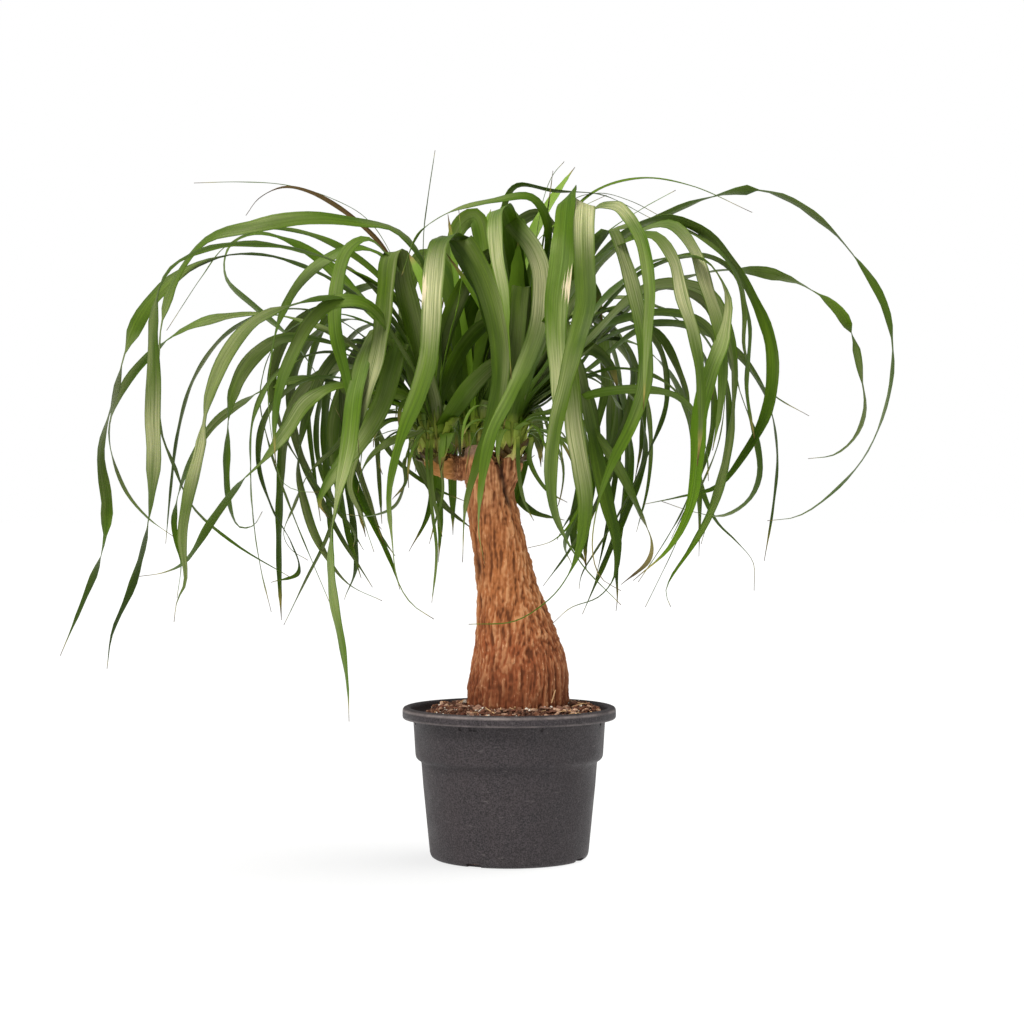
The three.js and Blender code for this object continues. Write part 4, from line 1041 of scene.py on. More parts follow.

# %% [markdown]
# Each leaf that the photograph shows has its own route, traced one by one. A row gives its greatest width,
# with the place where it has thinned to a thread if that comes early. Next are the depths of its arch and
# of its tip, which are below 0 where they come towards the viewer. A longer list of depths is spread evenly
# over the route's points. Then comes the leaf's twist, and last the points that it passes, as seen from
# the front.
# The twist of a leaf that hangs towards the viewer is a list of turns in degrees, at even steps.
# That of a leaf seen from its side is a list of places with the turn of its face from the viewer at each:
# 0 or 180 shows the broad face, 90 or 270 the thin edge.

# %% Routes of the left head's leaves
LEFT_LEAVES = [
    [16, [-40, -20], [[0, 90], [0.2, 75], [0.3, 78], [0.41, 86], [0.5, 45], [0.56, 25], [0.6, 88],
        [0.64, 112], [0.68, 97], [0.74, 125], [0.79, 148], [0.845, 262], [0.9, 320], [1, 300]],
        [[-112, 515], [-150, 553], [-205, 583], [-255, 594], [-310, 582], [-350, 550], [-375, 505],
            [-388, 455], [-402, 400], [-396, 345], [-400, 303], [-418, 255], [-442, 198]]],
    [17, [-95, -90], [[0, 90], [0.2, 75], [0.3, 84], [0.4, 72], [0.45, 75], [0.53, 86], [0.57, 60],
        [0.62, 45], [0.66, 15], [0.74, 25], [0.78, 60], [0.805, 88], [0.85, 115], [0.9, 140], [0.95, 125],
        [1, 120]],
        [[-105, 525], [-150, 575], [-205, 597], [-255, 604], [-300, 598], [-335, 578], [-349, 540],
            [-350, 470], [-351, 430], [-350, 390], [-357, 320], [-372, 265], [-391, 220], [-396, 185]]],
    [15, [-60, -40], [[0, 90], [0.2, 72], [0.3, 68], [0.36, 45], [0.42, 20], [0.47, 40], [0.5, 60],
        [0.55, 76], [0.58, 60], [0.6, 55], [0.63, 85], [0.67, 88], [0.75, 98], [0.8, 104], [0.85, 95],
        [0.9, 112], [1, 110]],
        [[-66, 500], [-78, 575], [-110, 616], [-150, 625], [-200, 629], [-255, 620], [-297, 608],
            [-324, 576], [-340, 535], [-345, 490], [-343, 420], [-330, 385], [-312, 345], [-270, 308],
            [-215, 275]]],
    [12, [30, 40], [[0, 90], [0.2, 70], [0.3, 55], [0.36, 83], [0.41, 80], [0.46, 60], [0.5, 42],
        [0.55, 65], [0.575, 88], [0.62, 130], [0.67, 145], [0.72, 120], [0.76, 96], [0.8, 93], [0.85, 112],
        [0.9, 122], [0.95, 112], [1, 100]],
        [[-120, 475], [-160, 508], [-200, 527], [-250, 535], [-310, 524], [-345, 502], [-378, 465],
            [-394, 420], [-380, 365], [-357, 335], [-330, 315]]],
    [15, [-150, -170], [[0, 90], [0.3, 70], [0.4, 72], [0.455, 84], [0.5, 55], [0.55, 35], [0.6, 20],
        [0.65, 50], [0.69, 78], [0.73, 45], [0.8, 15], [0.87, 25], [0.91, 45], [0.95, 65], [1, 80]],
        [[-110, 525], [-160, 551], [-215, 543], [-250, 528], [-275, 500], [-295, 455], [-305, 400],
            [-316, 355], [-322, 315], [-319, 270], [-327, 252], [-330, 231]]],
    [15, [-20, -50], [[0, 90], [0.25, 75], [0.33, 86], [0.38, 68], [0.44, 55], [0.5, 30], [0.56, 10],
        [0.62, 35], [0.66, 70], [0.695, 88], [0.74, 70], [0.78, 55], [0.83, 58], [0.88, 65], [0.92, 75],
        [1, 85]],
        [[-125, 480], [-180, 508], [-225, 510], [-255, 488], [-272, 455], [-278, 400], [-276, 350],
            [-266, 325], [-252, 326], [-243, 340]]],
    [11, [60, 70], [[0, 90], [0.25, 75], [0.33, 68], [0.4, 45], [0.44, 60], [0.475, 88], [0.52, 120],
        [0.57, 150], [0.62, 130], [0.68, 125], [0.74, 110], [0.78, 92], [0.83, 140], [0.88, 150],
        [0.93, 100], [1, 95]],
        [[-125, 450], [-190, 471], [-230, 465], [-262, 448], [-292, 425], [-318, 380], [-330, 330],
            [-323, 290], [-327, 255]]],
    [15, [-60, -90], [[0, 90], [0.2, 75], [0.3, 68], [0.36, 50], [0.42, 15], [0.5, 30], [0.56, 60],
        [0.6, 80], [0.63, 88], [0.68, 110], [0.74, 125], [0.8, 128], [0.87, 115], [0.93, 100], [1, 95]],
        [[-115, 450], [-165, 465], [-200, 448], [-218, 422], [-240, 393], [-265, 368], [-292, 332],
            [-320, 290], [-340, 280], [-365, 276]]],
    [[13, 0.85], [-50, -80], [[0, 90], [0.3, 75], [0.4, 75], [0.45, 50], [0.5, 35], [0.55, 42], [0.6, 50],
        [0.64, 75], [0.68, 86], [0.8, 84], [1, 80]],
        [[-90, 520], [-118, 587], [-150, 600], [-182, 587], [-208, 563], [-228, 523], [-237, 460],
            [-233, 410], [-222, 368], [-205, 360], [-185, 359]]],
    [14, [-125, -150], [[0, 90], [0.4, 70], [0.5, 45], [0.6, 25], [0.7, 20], [0.8, 30], [0.9, 50], [1, 60]],
        [[-105, 510], [-140, 545], [-172, 546], [-195, 528], [-212, 498], [-225, 465], [-231, 425],
            [-230, 385]]],
    [16, [-90, -120], [0, 0, -5, -10, -20, -28, -28, -50, -40, -10, 20],
        [[-92, 520], [-116, 588], [-140, 608], [-158, 598], [-169, 565], [-171, 520], [-162, 480],
            [-151, 435], [-147, 395]]],
    [22, [-100, -125], [0, 0, 0, 5, 10, 5, 0, 0, 15, 40],
        [[-84, 480], [-90, 560], [-100, 596], [-112, 592], [-118, 555], [-123, 515], [-131, 480],
            [-141, 450], [-152, 410], [-158, 375]]],
    [20, [-70, -90], [[0, 90], [0.3, 50], [0.42, 25], [0.6, 10], [0.8, 20], [1, 60]],
        [[-92, 470], [-104, 510], [-115, 480], [-126, 445], [-145, 412], [-165, 387], [-182, 362],
            [-187, 348], [-178, 334]]],
    [16, [-130, -155], [[0, 90], [0.3, 50], [0.4, 20], [0.5, 10], [0.56, 35], [0.63, 80], [0.67, 86],
        [0.74, 60], [0.82, 48], [0.9, 58], [1, 80]],
        [[-100, 490], [-130, 515], [-150, 465], [-158, 405], [-170, 350], [-176, 305], [-173, 255],
            [-164, 210], [-157, 165], [-155, 133]]],
    [12, [40, 20], [[0, 90], [0.3, 65], [0.42, 25], [0.52, 40], [0.6, 84], [0.68, 130], [0.78, 150],
        [0.86, 120], [0.93, 95], [1, 90]],
        [[-115, 490], [-150, 508], [-178, 485], [-198, 440], [-208, 385], [-202, 350], [-189, 312],
            [-160, 270], [-125, 252]]],
    [[10, 0.85], [80, 90], [[0, 90], [0.3, 70], [0.45, 35], [0.58, 60], [0.66, 88], [0.78, 130], [0.9, 110],
        [1, 95]],
        [[-112, 438], [-145, 430], [-172, 402], [-197, 378], [-212, 345], [-222, 318], [-215, 303],
            [-198, 292]]],
    [6, [20, 30], [0, 30, 30, 0],
        [[-118, 448], [-150, 420], [-165, 360], [-180, 313], [-200, 273], [-222, 228]]],
    [10, [-30, -50], [[0, 90], [0.3, 60], [0.5, 30], [0.7, 50], [0.85, 80], [1, 90]],
        [[-118, 430], [-148, 402], [-157, 365], [-145, 335], [-133, 300]]],
    [7, [-8, -20, -30], [0, 40, 40, 0],
        [[-100, 380], [-112, 346], [-135, 336], [-160, 337]]],
    [6, [-35, -45], [0, 20, 20, 0],
        [[-92, 402], [-103, 390], [-102, 368], [-115, 352]]],
    [9, [-50, -60], [[0, 90], [0.3, 60], [0.5, 30], [0.7, 55], [0.85, 80], [1, 90]],
        [[-90, 418], [-115, 410], [-133, 398], [-145, 380], [-149, 358]]],
    [6, [30, 40], [[0, 90], [0.4, 60], [0.6, 40], [0.75, 30], [0.85, 55], [0.92, 75], [1, 80]],
        [[-92, 530], [-122, 597], [-155, 630], [-195, 654], [-222, 659], [-246, 648], [-259, 631]]],
    [3.5, [50, 60], [0, 30, 0],
        [[-100, 560], [-137, 625], [-175, 648], [-220, 661], [-265, 664], [-310, 663]]],
    [3.5, [8, 8], [0, 20, 0],
        [[-82, 500], [-84, 610], [-80, 645], [-72, 695]]],
    [13, [70, 20], [[0, 90], [0.25, 55], [0.33, 35], [0.4, 20], [0.47, 50], [0.52, 80], [0.56, 75],
        [0.62, 86], [0.67, 75], [0.73, 58], [0.78, 62], [0.84, 80], [0.9, 86], [1, 88]],
        [[-105, 500], [-150, 553], [-185, 588], [-215, 606], [-250, 614], [-276, 600], [-279, 570],
            [-250, 541], [-215, 510], [-185, 468], [-165, 430]]],
    [8, [20, 0], [[0, 90], [0.4, 50], [0.5, 30], [0.6, 60], [0.7, 80], [0.8, 84], [1, 88]],
        [[-118, 560], [-180, 607], [-240, 618], [-280, 600], [-303, 570], [-337, 518]]],
    [4, [-28, -38, -42], [0, 20, 0],
        [[-75, 386], [-68, 350], [-45, 315]]],
    [3, [-26, -30, -30], [0, 20, 0],
        [[-64, 394], [-57, 360], [-70, 328], [-77, 308]]],
    [3.5, [-26, -24, -20], [0, 20, 0],
        [[-80, 392], [-74, 340], [-69, 300], [-75, 250]]],
    [19, [-18, -8], [[0, 90], [0.25, 40], [0.6, 15], [0.8, 40], [1, 80]],
        [[-66, 420], [-50, 446], [-31, 470], [-12, 484], [4, 474], [12, 448]]],
    [19, [24, 40], [[0, 90], [0.25, 45], [0.5, 20], [0.8, 35], [1, 70]],
        [[-74, 450], [-68, 496], [-54, 540], [-36, 574], [-14, 594], [10, 586], [26, 556]]],
    [17, [22, 46], [[0, 90], [0.25, 60], [0.5, 30], [0.8, 45], [1, 70]],
        [[-70, 440], [-58, 476], [-42, 506], [-22, 524], [-2, 520], [14, 498], [20, 466]]],
    [15, [-12, -30], [[0, 90], [0.3, 55], [0.6, 40], [1, 60]],
        [[-84, 432], [-100, 452], [-118, 456], [-132, 438], [-138, 408]]],
]
print("left head:", len(LEFT_LEAVES), "routes")

# %% [markdown]
# The right head stands nearer to the viewer. Its leaves fall in front of the trunk too, and the broad
# ones in the middle of the picture hang from it.

# %% Routes of the right head's leaves
RIGHT_LEAVES = [
    [[18, 0.93], [10, -30, -95, -150, -165, -170, -172, -172],
        [0, 5, 10, 15, 20, 30, 38, 30, 0, 0, 10, 30],
        [[16, 500], [6, 590], [-4, 636], [-14, 628], [-12, 590], [-4, 550], [0, 505], [2, 470]]],
    [[21, 0.95], [-95, -140], [0, -10, -20, -35, -25, -5, 0, 15, 40, 30, 0],
        [[-12, 500], [-38, 578], [-50, 608], [-42, 600], [-25, 568], [-12, 525], [-8, 478], [-16, 430],
            [-31, 388], [-43, 345], [-46, 290]]],
    [[18, 0.95], [10, -20, -45, -60, -75, -90, -100, -110, -125, -142, -156, -165, -170, -174, -175],
        [0, 10, 20, 40, 66, 55, 20, 0, 30, 45, 30, 20, 0],
        [[-2, 500], [-10, 590], [-13, 622], [-7, 634], [9, 617], [23, 599], [31, 577], [31, 545], [27, 518],
            [14, 482], [-1, 450], [-17, 417], [-27, 370], [-30, 320], [-24, 288]]],
    [[21, 0.9], [5, -10, -30, -60, -110, -150, -170, -178, -182, -186, -189, -192, -194, -196, -198, -200,
        -200], [0, 0, -5, -8, 0, 5, 0, 0, 15, 55, 30, 0],
        [[-9, 470], [-17, 525], [-31, 576], [-47, 603], [-61, 611], [-71, 598], [-75, 560], [-77, 520],
            [-80, 488], [-90, 455], [-102, 425], [-113, 390], [-119, 355], [-116, 315], [-110, 272],
            [-96, 249], [-74, 234]]],
    [25, [-8, -30, -60, -100, -135, -160, -170, -180, -185, -190, -190],
        [0, 0, 5, 10, 25, 50, 48, 10, 0, 10, 30, 50],
        [[30, 470], [42, 535], [50, 595], [57, 641], [57, 650], [54, 620], [52, 590], [47, 550], [46, 510],
            [48, 465], [45, 395]]],
    [[20, 0.92], [-8, -30, -60, -105, -145, -170, -180, -190, -200, -205, -208, -210, -210, -210, -210],
        [0, 0, 0, -5, -15, -30, -28, -5, 0, 15, 40, 20, -10, 30, 0],
        [[34, 470], [50, 535], [62, 595], [70, 638], [74, 642], [73, 618], [74, 580], [75, 545], [66, 508],
            [54, 460], [44, 415], [41, 370], [46, 335], [70, 290], [110, 248]]],
    [[20, 0.8], [-120, -150], [0, 20, 40, 40, 20, 0, 0, 10, 25, 60, 40, 20, 0],
        [[20, 480], [42, 535], [55, 505], [60, 460], [64, 420], [70, 385], [75, 345], [68, 300], [52, 268],
            [35, 250], [5, 232], [-40, 229]]],
    [[17, 0.86], [-60, -70], [0, 20, 40, 30, 0, 0, 15, 40, 60, 40, 10, 0],
        [[24, 470], [48, 520], [66, 487], [78, 435], [88, 385], [97, 345], [106, 308], [103, 275],
            [88, 256], [60, 245], [43, 230]]],
    [[16, 0.88], [-180, -215], [0, -5, -15, -30, -30, 0, 25, 30, 35, 50, 20, 0],
        [[50, 545], [86, 606], [100, 618], [112, 591], [124, 550], [133, 505], [133, 465], [120, 425],
            [100, 385], [86, 342], [82, 300], [90, 275], [110, 262]]],
    [5, [-50, -60], [[0, 90], [0.4, 50], [0.7, 60], [1, 85]],
        [[30, 420], [60, 405], [72, 360], [60, 328], [42, 311], [18, 304]]],
    [6, [-35, -45], [0, 20, 0],
        [[20, 390], [38, 360], [57, 349]]],
    [4, [-38, -42, -45], [0, 20, 0],
        [[9, 384], [14, 352], [24, 331]]],
    [12, [-30, 0], [[0, 90], [0.25, 55], [0.3, 48], [0.35, 55], [0.405, 86], [0.43, 60], [0.445, 35],
        [0.46, 84], [0.5, 63], [0.53, 54], [0.555, 72], [0.59, 87], [0.62, 115], [0.65, 140], [0.68, 125],
        [0.72, 97], [0.76, 112], [0.8, 104], [0.86, 95], [0.9, 115], [0.95, 112], [1, 100]],
        [[48, 520], [95, 593], [148, 629], [195, 648], [240, 656], [275, 647], [313, 620], [345, 583],
            [368, 545], [377, 500], [372, 450], [350, 395], [314, 355], [283, 335], [254, 331]]],
    [13, [40, 60], [[0, 90], [0.3, 70], [0.4, 60], [0.46, 86], [0.5, 84], [0.53, 50], [0.565, 12],
        [0.59, 50], [0.62, 88], [0.65, 94], [0.68, 140], [0.7, 160], [0.72, 215], [0.738, 268], [0.77, 322],
        [0.79, 310], [0.82, 275], [0.86, 295], [0.9, 302], [1, 290]],
        [[58, 470], [120, 545], [190, 574], [235, 577], [270, 570], [300, 556], [325, 536], [338, 512],
            [346, 475], [350, 440], [340, 413], [320, 396], [294, 392]]],
    [14, [-70, -80], [[0, 90], [0.3, 60], [0.4, 62], [0.45, 50], [0.5, 48], [0.55, 62], [0.6, 50],
        [0.65, 30], [0.7, 15], [0.75, 25], [0.8, 40], [0.85, 50], [0.9, 60], [1, 70]],
        [[48, 530], [100, 602], [146, 627], [184, 619], [217, 588], [240, 550], [256, 510], [259, 475],
            [252, 435], [230, 395], [205, 365], [170, 355], [132, 347]]],
    [8, [10, 20], [[0, 90], [0.5, 60], [0.6, 50], [0.7, 45], [0.78, 55], [0.84, 80], [0.9, 84], [0.95, 60],
        [1, 70]],
        [[60, 500], [130, 575], [190, 592], [222, 574], [231, 540], [231, 500], [241, 474], [262, 453],
            [295, 434]]],
    [18, [-170, -200], [0, 0, 5, 15, 30, 40, 40, 35, 45],
        [[48, 540], [100, 597], [140, 612], [160, 590], [170, 550], [181, 515], [188, 470], [188, 420],
            [185, 385]]],
    [19, [-130, -160], [0, 0, 0, 10, 30, 45, 45, 40, 50],
        [[58, 540], [115, 607], [158, 622], [181, 598], [194, 560], [205, 525], [210, 485], [207, 440],
            [200, 400]]],
    [14, [-10, -45, -100, -160, -205, -222, -228, -230, -232], [0, 10, 20, 30, 32, 10, 0, 20, 45],
        [[40, 550], [75, 630], [102, 641], [122, 622], [133, 595], [138, 555], [136, 515], [134, 480],
            [132, 440]]],
    [18, [-150, -180], [[0, 90], [0.3, 70], [0.42, 86], [0.53, 86], [0.58, 60], [0.63, 35], [0.7, 25],
        [0.8, 30], [0.9, 50], [1, 70]],
        [[68, 520], [140, 585], [192, 587], [214, 552], [211, 515], [197, 475], [187, 435], [185, 395],
            [178, 345], [158, 305], [122, 272]]],
    [14, [-95, -120], [[0, 90], [0.3, 60], [0.4, 50], [0.5, 35], [0.6, 60], [0.65, 78], [0.7, 60],
        [0.8, 40], [0.9, 55], [1, 80]],
        [[70, 500], [140, 562], [195, 555], [219, 500], [220, 440], [212, 385], [198, 339], [178, 303],
            [158, 273], [154, 260], [159, 246]]],
    [10, [-70, -90], [[0, 90], [0.3, 50], [0.5, 30], [0.7, 50], [0.85, 88], [1, 120]],
        [[42, 438], [85, 456], [132, 460], [165, 453], [185, 432], [194, 400], [196, 370]]],
    [12, [-60, -75], [[0, 90], [0.3, 60], [0.45, 30], [0.6, 40], [0.7, 70], [0.78, 90], [0.88, 130],
        [1, 120]],
        [[38, 430], [66, 430], [92, 406], [110, 378], [128, 340], [140, 310], [137, 292], [110, 268]]],
    [11, [10, 0], [[0, 90], [0.35, 70], [0.5, 40], [0.58, 60], [0.65, 88], [0.75, 130], [0.85, 120],
        [0.93, 95], [1, 90]],
        [[80, 500], [150, 560], [192, 545], [213, 500], [228, 455], [243, 410], [246, 375], [235, 351],
            [210, 336], [180, 340], [150, 350]]],
    [10, [30, 40], [[0, 90], [0.35, 60], [0.45, 35], [0.55, 60], [0.62, 88], [0.72, 135], [0.82, 115],
        [0.9, 95], [1, 100]],
        [[78, 480], [138, 520], [170, 470], [180, 410], [190, 360], [204, 330], [224, 310], [240, 290],
            [241, 262]]],
    [12, [-25, -30], [[0, 90], [0.4, 60], [0.6, 50], [0.8, 40], [1, 60]],
        [[48, 490], [92, 522], [150, 536], [188, 527], [204, 505], [200, 450]]],
    [4, [20, 10], [0, 30, 0],
        [[30, 560], [60, 632], [88, 657], [132, 668], [180, 660], [239, 634]]],
    [4, [-20, -30], [0, 30, 0],
        [[32, 560], [57, 642], [88, 653], [120, 645], [151, 629]]],
    [10, [-60, -130], [[0, 90], [0.4, 60], [0.55, 35], [0.7, 60], [0.8, 85], [0.9, 110], [1, 100]],
        [[26, 540], [38, 622], [22, 649], [-15, 646], [-50, 638], [-80, 624], [-105, 607], [-128, 570]]],
    [8, [10, 20], [[0, 90], [0.4, 60], [0.55, 30], [0.7, 60], [0.85, 84], [1, 100]],
        [[-4, 560], [-12, 640], [5, 660], [45, 655], [92, 651], [140, 628]]],
    [3, [-14, -14], [0, 10, 0],
        [[20, 560], [33, 645], [43, 671], [54, 684]]],
    [3, [-30, -30], [0, 10, 0],
        [[26, 560], [39, 645], [43, 675]]],
    [20, [-30, -45], [0, 10, 10],
        [[5, 480], [7, 545], [9, 608]]],
    [20, [20, 50], [[0, 90], [0.25, 30], [0.5, 12], [0.8, 30], [1, 60]],
        [[10, 440], [14, 500], [10, 555], [4, 596], [-8, 622], [-24, 612], [-34, 575]]],
    [20, [0, 20], [[0, 90], [0.25, 35], [0.5, 20], [0.8, 30], [1, 60]],
        [[12, 440], [22, 486], [34, 528], [48, 560], [66, 574], [84, 556], [92, 520]]],
    [17, [-6, 10], [[0, 90], [0.25, 50], [0.5, 30], [0.8, 40], [1, 60]],
        [[14, 430], [32, 462], [54, 488], [78, 500], [98, 486], [108, 456]]],
    [18, [-72, -95], [0, 0, 0, 5, 10, 0, 0, 20, 40],
        [[8, 450], [10, 510], [12, 548], [12, 563], [10, 548], [7, 510], [2, 465], [-6, 420]]],
]
print("right head:", len(RIGHT_LEAVES), "routes")

# %% [markdown]
# The back head hides behind the other two. Only the leaves that stand up between them need routes.

# %% Routes of the back head's leaves
BACK_LEAVES = [
    [20, [66, 90], [[0, 90], [0.3, 20], [0.6, 10], [1, 60]],
        [[-41, 452], [-47, 500], [-55, 545], [-68, 580], [-88, 590], [-104, 570], [-112, 530],
            [-116, 480]]],
    [20, [70, 100], [[0, 90], [0.3, -15], [0.6, -10], [1, 60]],
        [[-33, 460], [-29, 515], [-25, 565], [-26, 605], [-34, 630], [-48, 622], [-60, 585], [-66, 540]]],
    [19, [60, 70], [[0, 90], [0.3, 30], [0.6, 25], [1, 70]],
        [[-44, 447], [-60, 484], [-80, 512], [-101, 520], [-118, 500], [-128, 465], [-132, 430]]],
    [18, [60, 80], [[0, 90], [0.3, -25], [0.6, -10], [1, 60]],
        [[-26, 450], [-9, 488], [8, 522], [26, 540], [46, 528], [60, 498], [66, 460]]],
    [20, [58, 64], [[0, 90], [0.35, 15], [0.6, 30], [1, 80]],
        [[-38, 440], [-43, 474], [-45, 508], [-40, 536], [-28, 552], [-14, 540], [-8, 512], [-6, 480]]],
    [17, [50, 46], [[0, 90], [0.35, 40], [0.6, 30], [1, 70]],
        [[-46, 436], [-62, 456], [-82, 466], [-100, 456], [-110, 432], [-113, 405]]],
    [17, [52, 60], [[0, 90], [0.35, -30], [0.6, -40], [1, 50]],
        [[-24, 436], [-6, 452], [12, 456], [28, 440], [36, 412], [38, 384]]],
    [16, [72, 120], [[0, 90], [0.4, 10], [0.7, 30], [1, 60]],
        [[-30, 480], [-18, 540], [-6, 590], [8, 622], [28, 632], [48, 612], [60, 570]]],
]
print("back head:", len(BACK_LEAVES), "routes")

# %% [markdown]
# ### A leaf's line
# A smooth curve runs through the route's points, with each bend as tight as its points are close.
# A leaf starts low on its head's stem, where its sheath clasps it. A steep leaf is a young one, and starts
# higher. The leaves of two heads stay on their own sides of soft upright borders, as crowded leaves do.

# %% Lines for the leaves
BORDERS = [
    {"near": "left", "far": "right", "x": -34, "y": -3, "facing": -30},
    {"near": "left", "far": "back", "x": -55, "y": 31, "facing": 52.5},
    {"near": "right", "far": "back", "x": -15, "y": 24, "facing": 122},
]
BORDER_MARGIN = 13
BORDER_SOFTNESS = 8
ARCH_AT = 0.45
ROOT_HEIGHTS = (12, 34)
ROOT_REACH = 26
ROOT_LIFT = 0.35
LEAST_LIFT = 0.2
SHEATH_OUT = 9.0
SHEATH_HEIGHTS = (-4, 10)
TABLE_POINTS = 201


def unit(vector):
    return vector / np.linalg.norm(vector)


def head_spot(head, up=0.0):
    return np.array([head["x"], head["y"], head["z"] + up], float)


def run_along(points):
    """The distance along a line at each of its points."""
    return np.concatenate([[0], np.cumsum(np.linalg.norm(np.diff(points, axis=0), axis=1))])


def curve_points(knots, places):
    """Points on the smooth curve through the knots, at places from 0 to 1 by knot count."""
    ends = np.vstack([2 * knots[0] - knots[1], knots, 2 * knots[-1] - knots[-2]])
    place = np.clip(places, 0, 1) * (len(knots) - 1)
    i = np.minimum(place.astype(int), len(knots) - 2)
    t = (place - i)[:, None]
    p0, p1, p2, p3 = (ends[i + k] for k in range(4))
    gaps = [np.linalg.norm(b - a, axis=1, keepdims=True) for a, b in ((p0, p1), (p1, p2), (p2, p3))]
    d0, d1, d2 = np.sqrt(gaps)
    m1 = ((p1 - p0) / d0 - (p2 - p0) / (d0 + d1) + (p2 - p1) / d1) * d1
    m2 = ((p2 - p1) / d1 - (p3 - p1) / (d1 + d2) + (p3 - p2) / d2) * d1
    return p1 + m1 * t + (3 * (p2 - p1) - 2 * m1 - m2) * t**2 + (2 * (p1 - p2) + m1 + m2) * t**3


def spaced_points(knots, count):
    """Evenly spaced points on the curve, and its length."""
    even = np.linspace(0, 1, TABLE_POINTS)
    run = run_along(curve_points(knots, even))
    places = np.interp(np.linspace(0, run[-1], count), run, even)
    return curve_points(knots, places), run[-1]


def from_view(x, z, y):
    """Where a point of the front view lies in space, when it is at depth y."""
    scale = (y - EYE[1]) / -EYE[1]
    return np.array([EYE[0] + (x - EYE[0]) * scale, y, EYE[2] + (z - EYE[2]) * scale])


def depth_at(head_y, depths, fraction, route_share):
    if len(depths) > 2:
        return along_list(depths, route_share)
    arch, tip = depths
    if fraction < ARCH_AT:
        return mix(head_y, arch, smooth(fraction / ARCH_AT))
    return mix(arch, tip, (fraction - ARCH_AT) / (1 - ARCH_AT))


def with_root(head, steep, points):
    root = head_spot(head, mix(*ROOT_HEIGHTS, steep * steep))
    away = unit(points[0] - root)
    away[2] = max(away[2] + ROOT_LIFT * steep, LEAST_LIFT)
    return np.array([root, root + unit(away) * ROOT_REACH, *points])


def sheathed(line, head):
    """The same line, started low on the outside of the stem."""
    steep = clamp01((line[0][2] - head["z"] - ROOT_HEIGHTS[0]) / (ROOT_HEIGHTS[1] - ROOT_HEIGHTS[0]))
    out = unit((line[1] - line[0]) * (1, 1, 0)) * SHEATH_OUT
    start = head_spot(head, mix(*SHEATH_HEIGHTS, steep)) + out
    return np.array([start, *line[1:]])


def routed_line(head, depths, route):
    run = run_along(np.array([(head["x"], head["z"]), *route], float))
    points = []
    for i, (x, z) in enumerate(route):
        depth = depth_at(head["y"], depths, run[i + 1] / run[-1], i / (len(route) - 1))
        points.append(from_view(x, z, depth))
    steep = clamp01(unit(points[0] - head_spot(head))[2])
    return with_root(head, steep, points)


def keep_side(points, head_name):
    """Eases the points along each border that they would cross."""
    for border in BORDERS:
        if head_name not in (border["near"], border["far"]):
            continue
        sign = 1 if head_name == border["far"] else -1
        facing = math.radians(border["facing"])
        normal = np.array([sign * math.cos(facing), sign * math.sin(facing), 0.0])
        inside = (points - (border["x"], border["y"], 0)) @ normal
        eased = np.log1p(np.exp((inside - BORDER_MARGIN) / BORDER_SOFTNESS))
        points = points + normal * (BORDER_MARGIN + BORDER_SOFTNESS * eased - inside)[:, None]
    return points


sample = routed_line(HEADS["left"], *LEFT_LEAVES[0][1::2])
print("first leaf:", round(float(spaced_points(sample, 50)[1])), "mm long")

# %% [markdown]
# ### Laying a blade along its line
# A leaf that hangs towards the viewer is too stiff to twist in its tight arch. So its side is carried along
# a dozen points of the line, its own twist is added at each, and the rows between are eased.
# A leaf seen from its side is turned row by row, as its list says. Its clasping base lies flat either way.
# The section is a shallow channel that opens upwards. At the base it is deep and wraps the stem.
# The width follows a table: a broad clasping base, an even strap, a taper, and at the end a thread.
# Along with its points, a blade stores numbers for the finish: its tone, how young and how dry it is (on
# one leaf the young colour is a painted backlight), the distance from its root, where it is torn, and how
# strong its wax and painted sheen are some way past the top of its arch.

# %% Lay a blade
BLADE_PROFILE = [
    [0, 1.05],
    [0.03, 1.3],
    [0.07, 1.0],
    [0.16, 0.96],
    [0.5, 1],
    [0.74, 0.89],
    [0.87, 0.64],
    [0.94, 0.33],
    [0.97, 0.12],
    [1, 0.03],
]
HUSK_PROFILE = [[0, 1], [0.3, 0.95], [0.7, 0.55], [1, 0.08]]
CHANNEL = [[0, 1.0], [0.04, 0.7], [0.1, 0.3], [0.3, 0.12], [0.8, 0.08], [1, 0.03]]
BLADE_THICKNESS = 0.62
RING_SPACING = 72
CLASP = 0.14
THREAD = 1.1
THREAD_END = 0.97
NARROWEST = 0.5
MARGIN_THINNING = 0.45
RIPPLE_SHARE = 0.07
RIPPLE_LENGTH = 46.0
TEAR_REACH = 1.25
BLOOM_AND_SHEEN_SPREAD = 40.0
FIBRE_WIDTH = 0.1
FIBRE_LENGTH = 260.0


def directions(points):
    alongs = np.gradient(points, axis=0)
    return alongs / np.linalg.norm(alongs, axis=1, keepdims=True)


def side_of_base(points):
    outward = unit((points[int(len(points) * ARCH_AT)] - points[0]) * (1, 1, 0))
    return np.array([-outward[1], outward[0], 0.0])


def square_to(alongs, sides):
    sides = sides - alongs * np.sum(sides * alongs, axis=1, keepdims=True)
    return sides / np.linalg.norm(sides, axis=1, keepdims=True)


def carried_sides(line, turns, head_name, shares):
    """Which way the width points at each share of the line, when it is carried along a few points."""
    length = spaced_points(line, 2)[1]
    steps = max(3, int(length / RING_SPACING + 0.5))
    points = spaced_points(line, steps + 1)[0]
    if head_name:
        points = keep_side(points, head_name)
    side = side_of_base(points)
    widths = []
    for i, along in enumerate(directions(points)):
        side = unit(side - along * (side @ along))
        turn = math.radians(along_list(turns, i / steps))
        widths.append(side * math.cos(turn) + np.cross(along, side) * math.sin(turn))
    place = shares * steps
    ring = np.minimum(place.astype(int), steps - 1)
    ease = smooth(place - ring)[:, None]
    widths = np.array(widths)
    return widths[ring] * (1 - ease) + widths[ring + 1] * ease


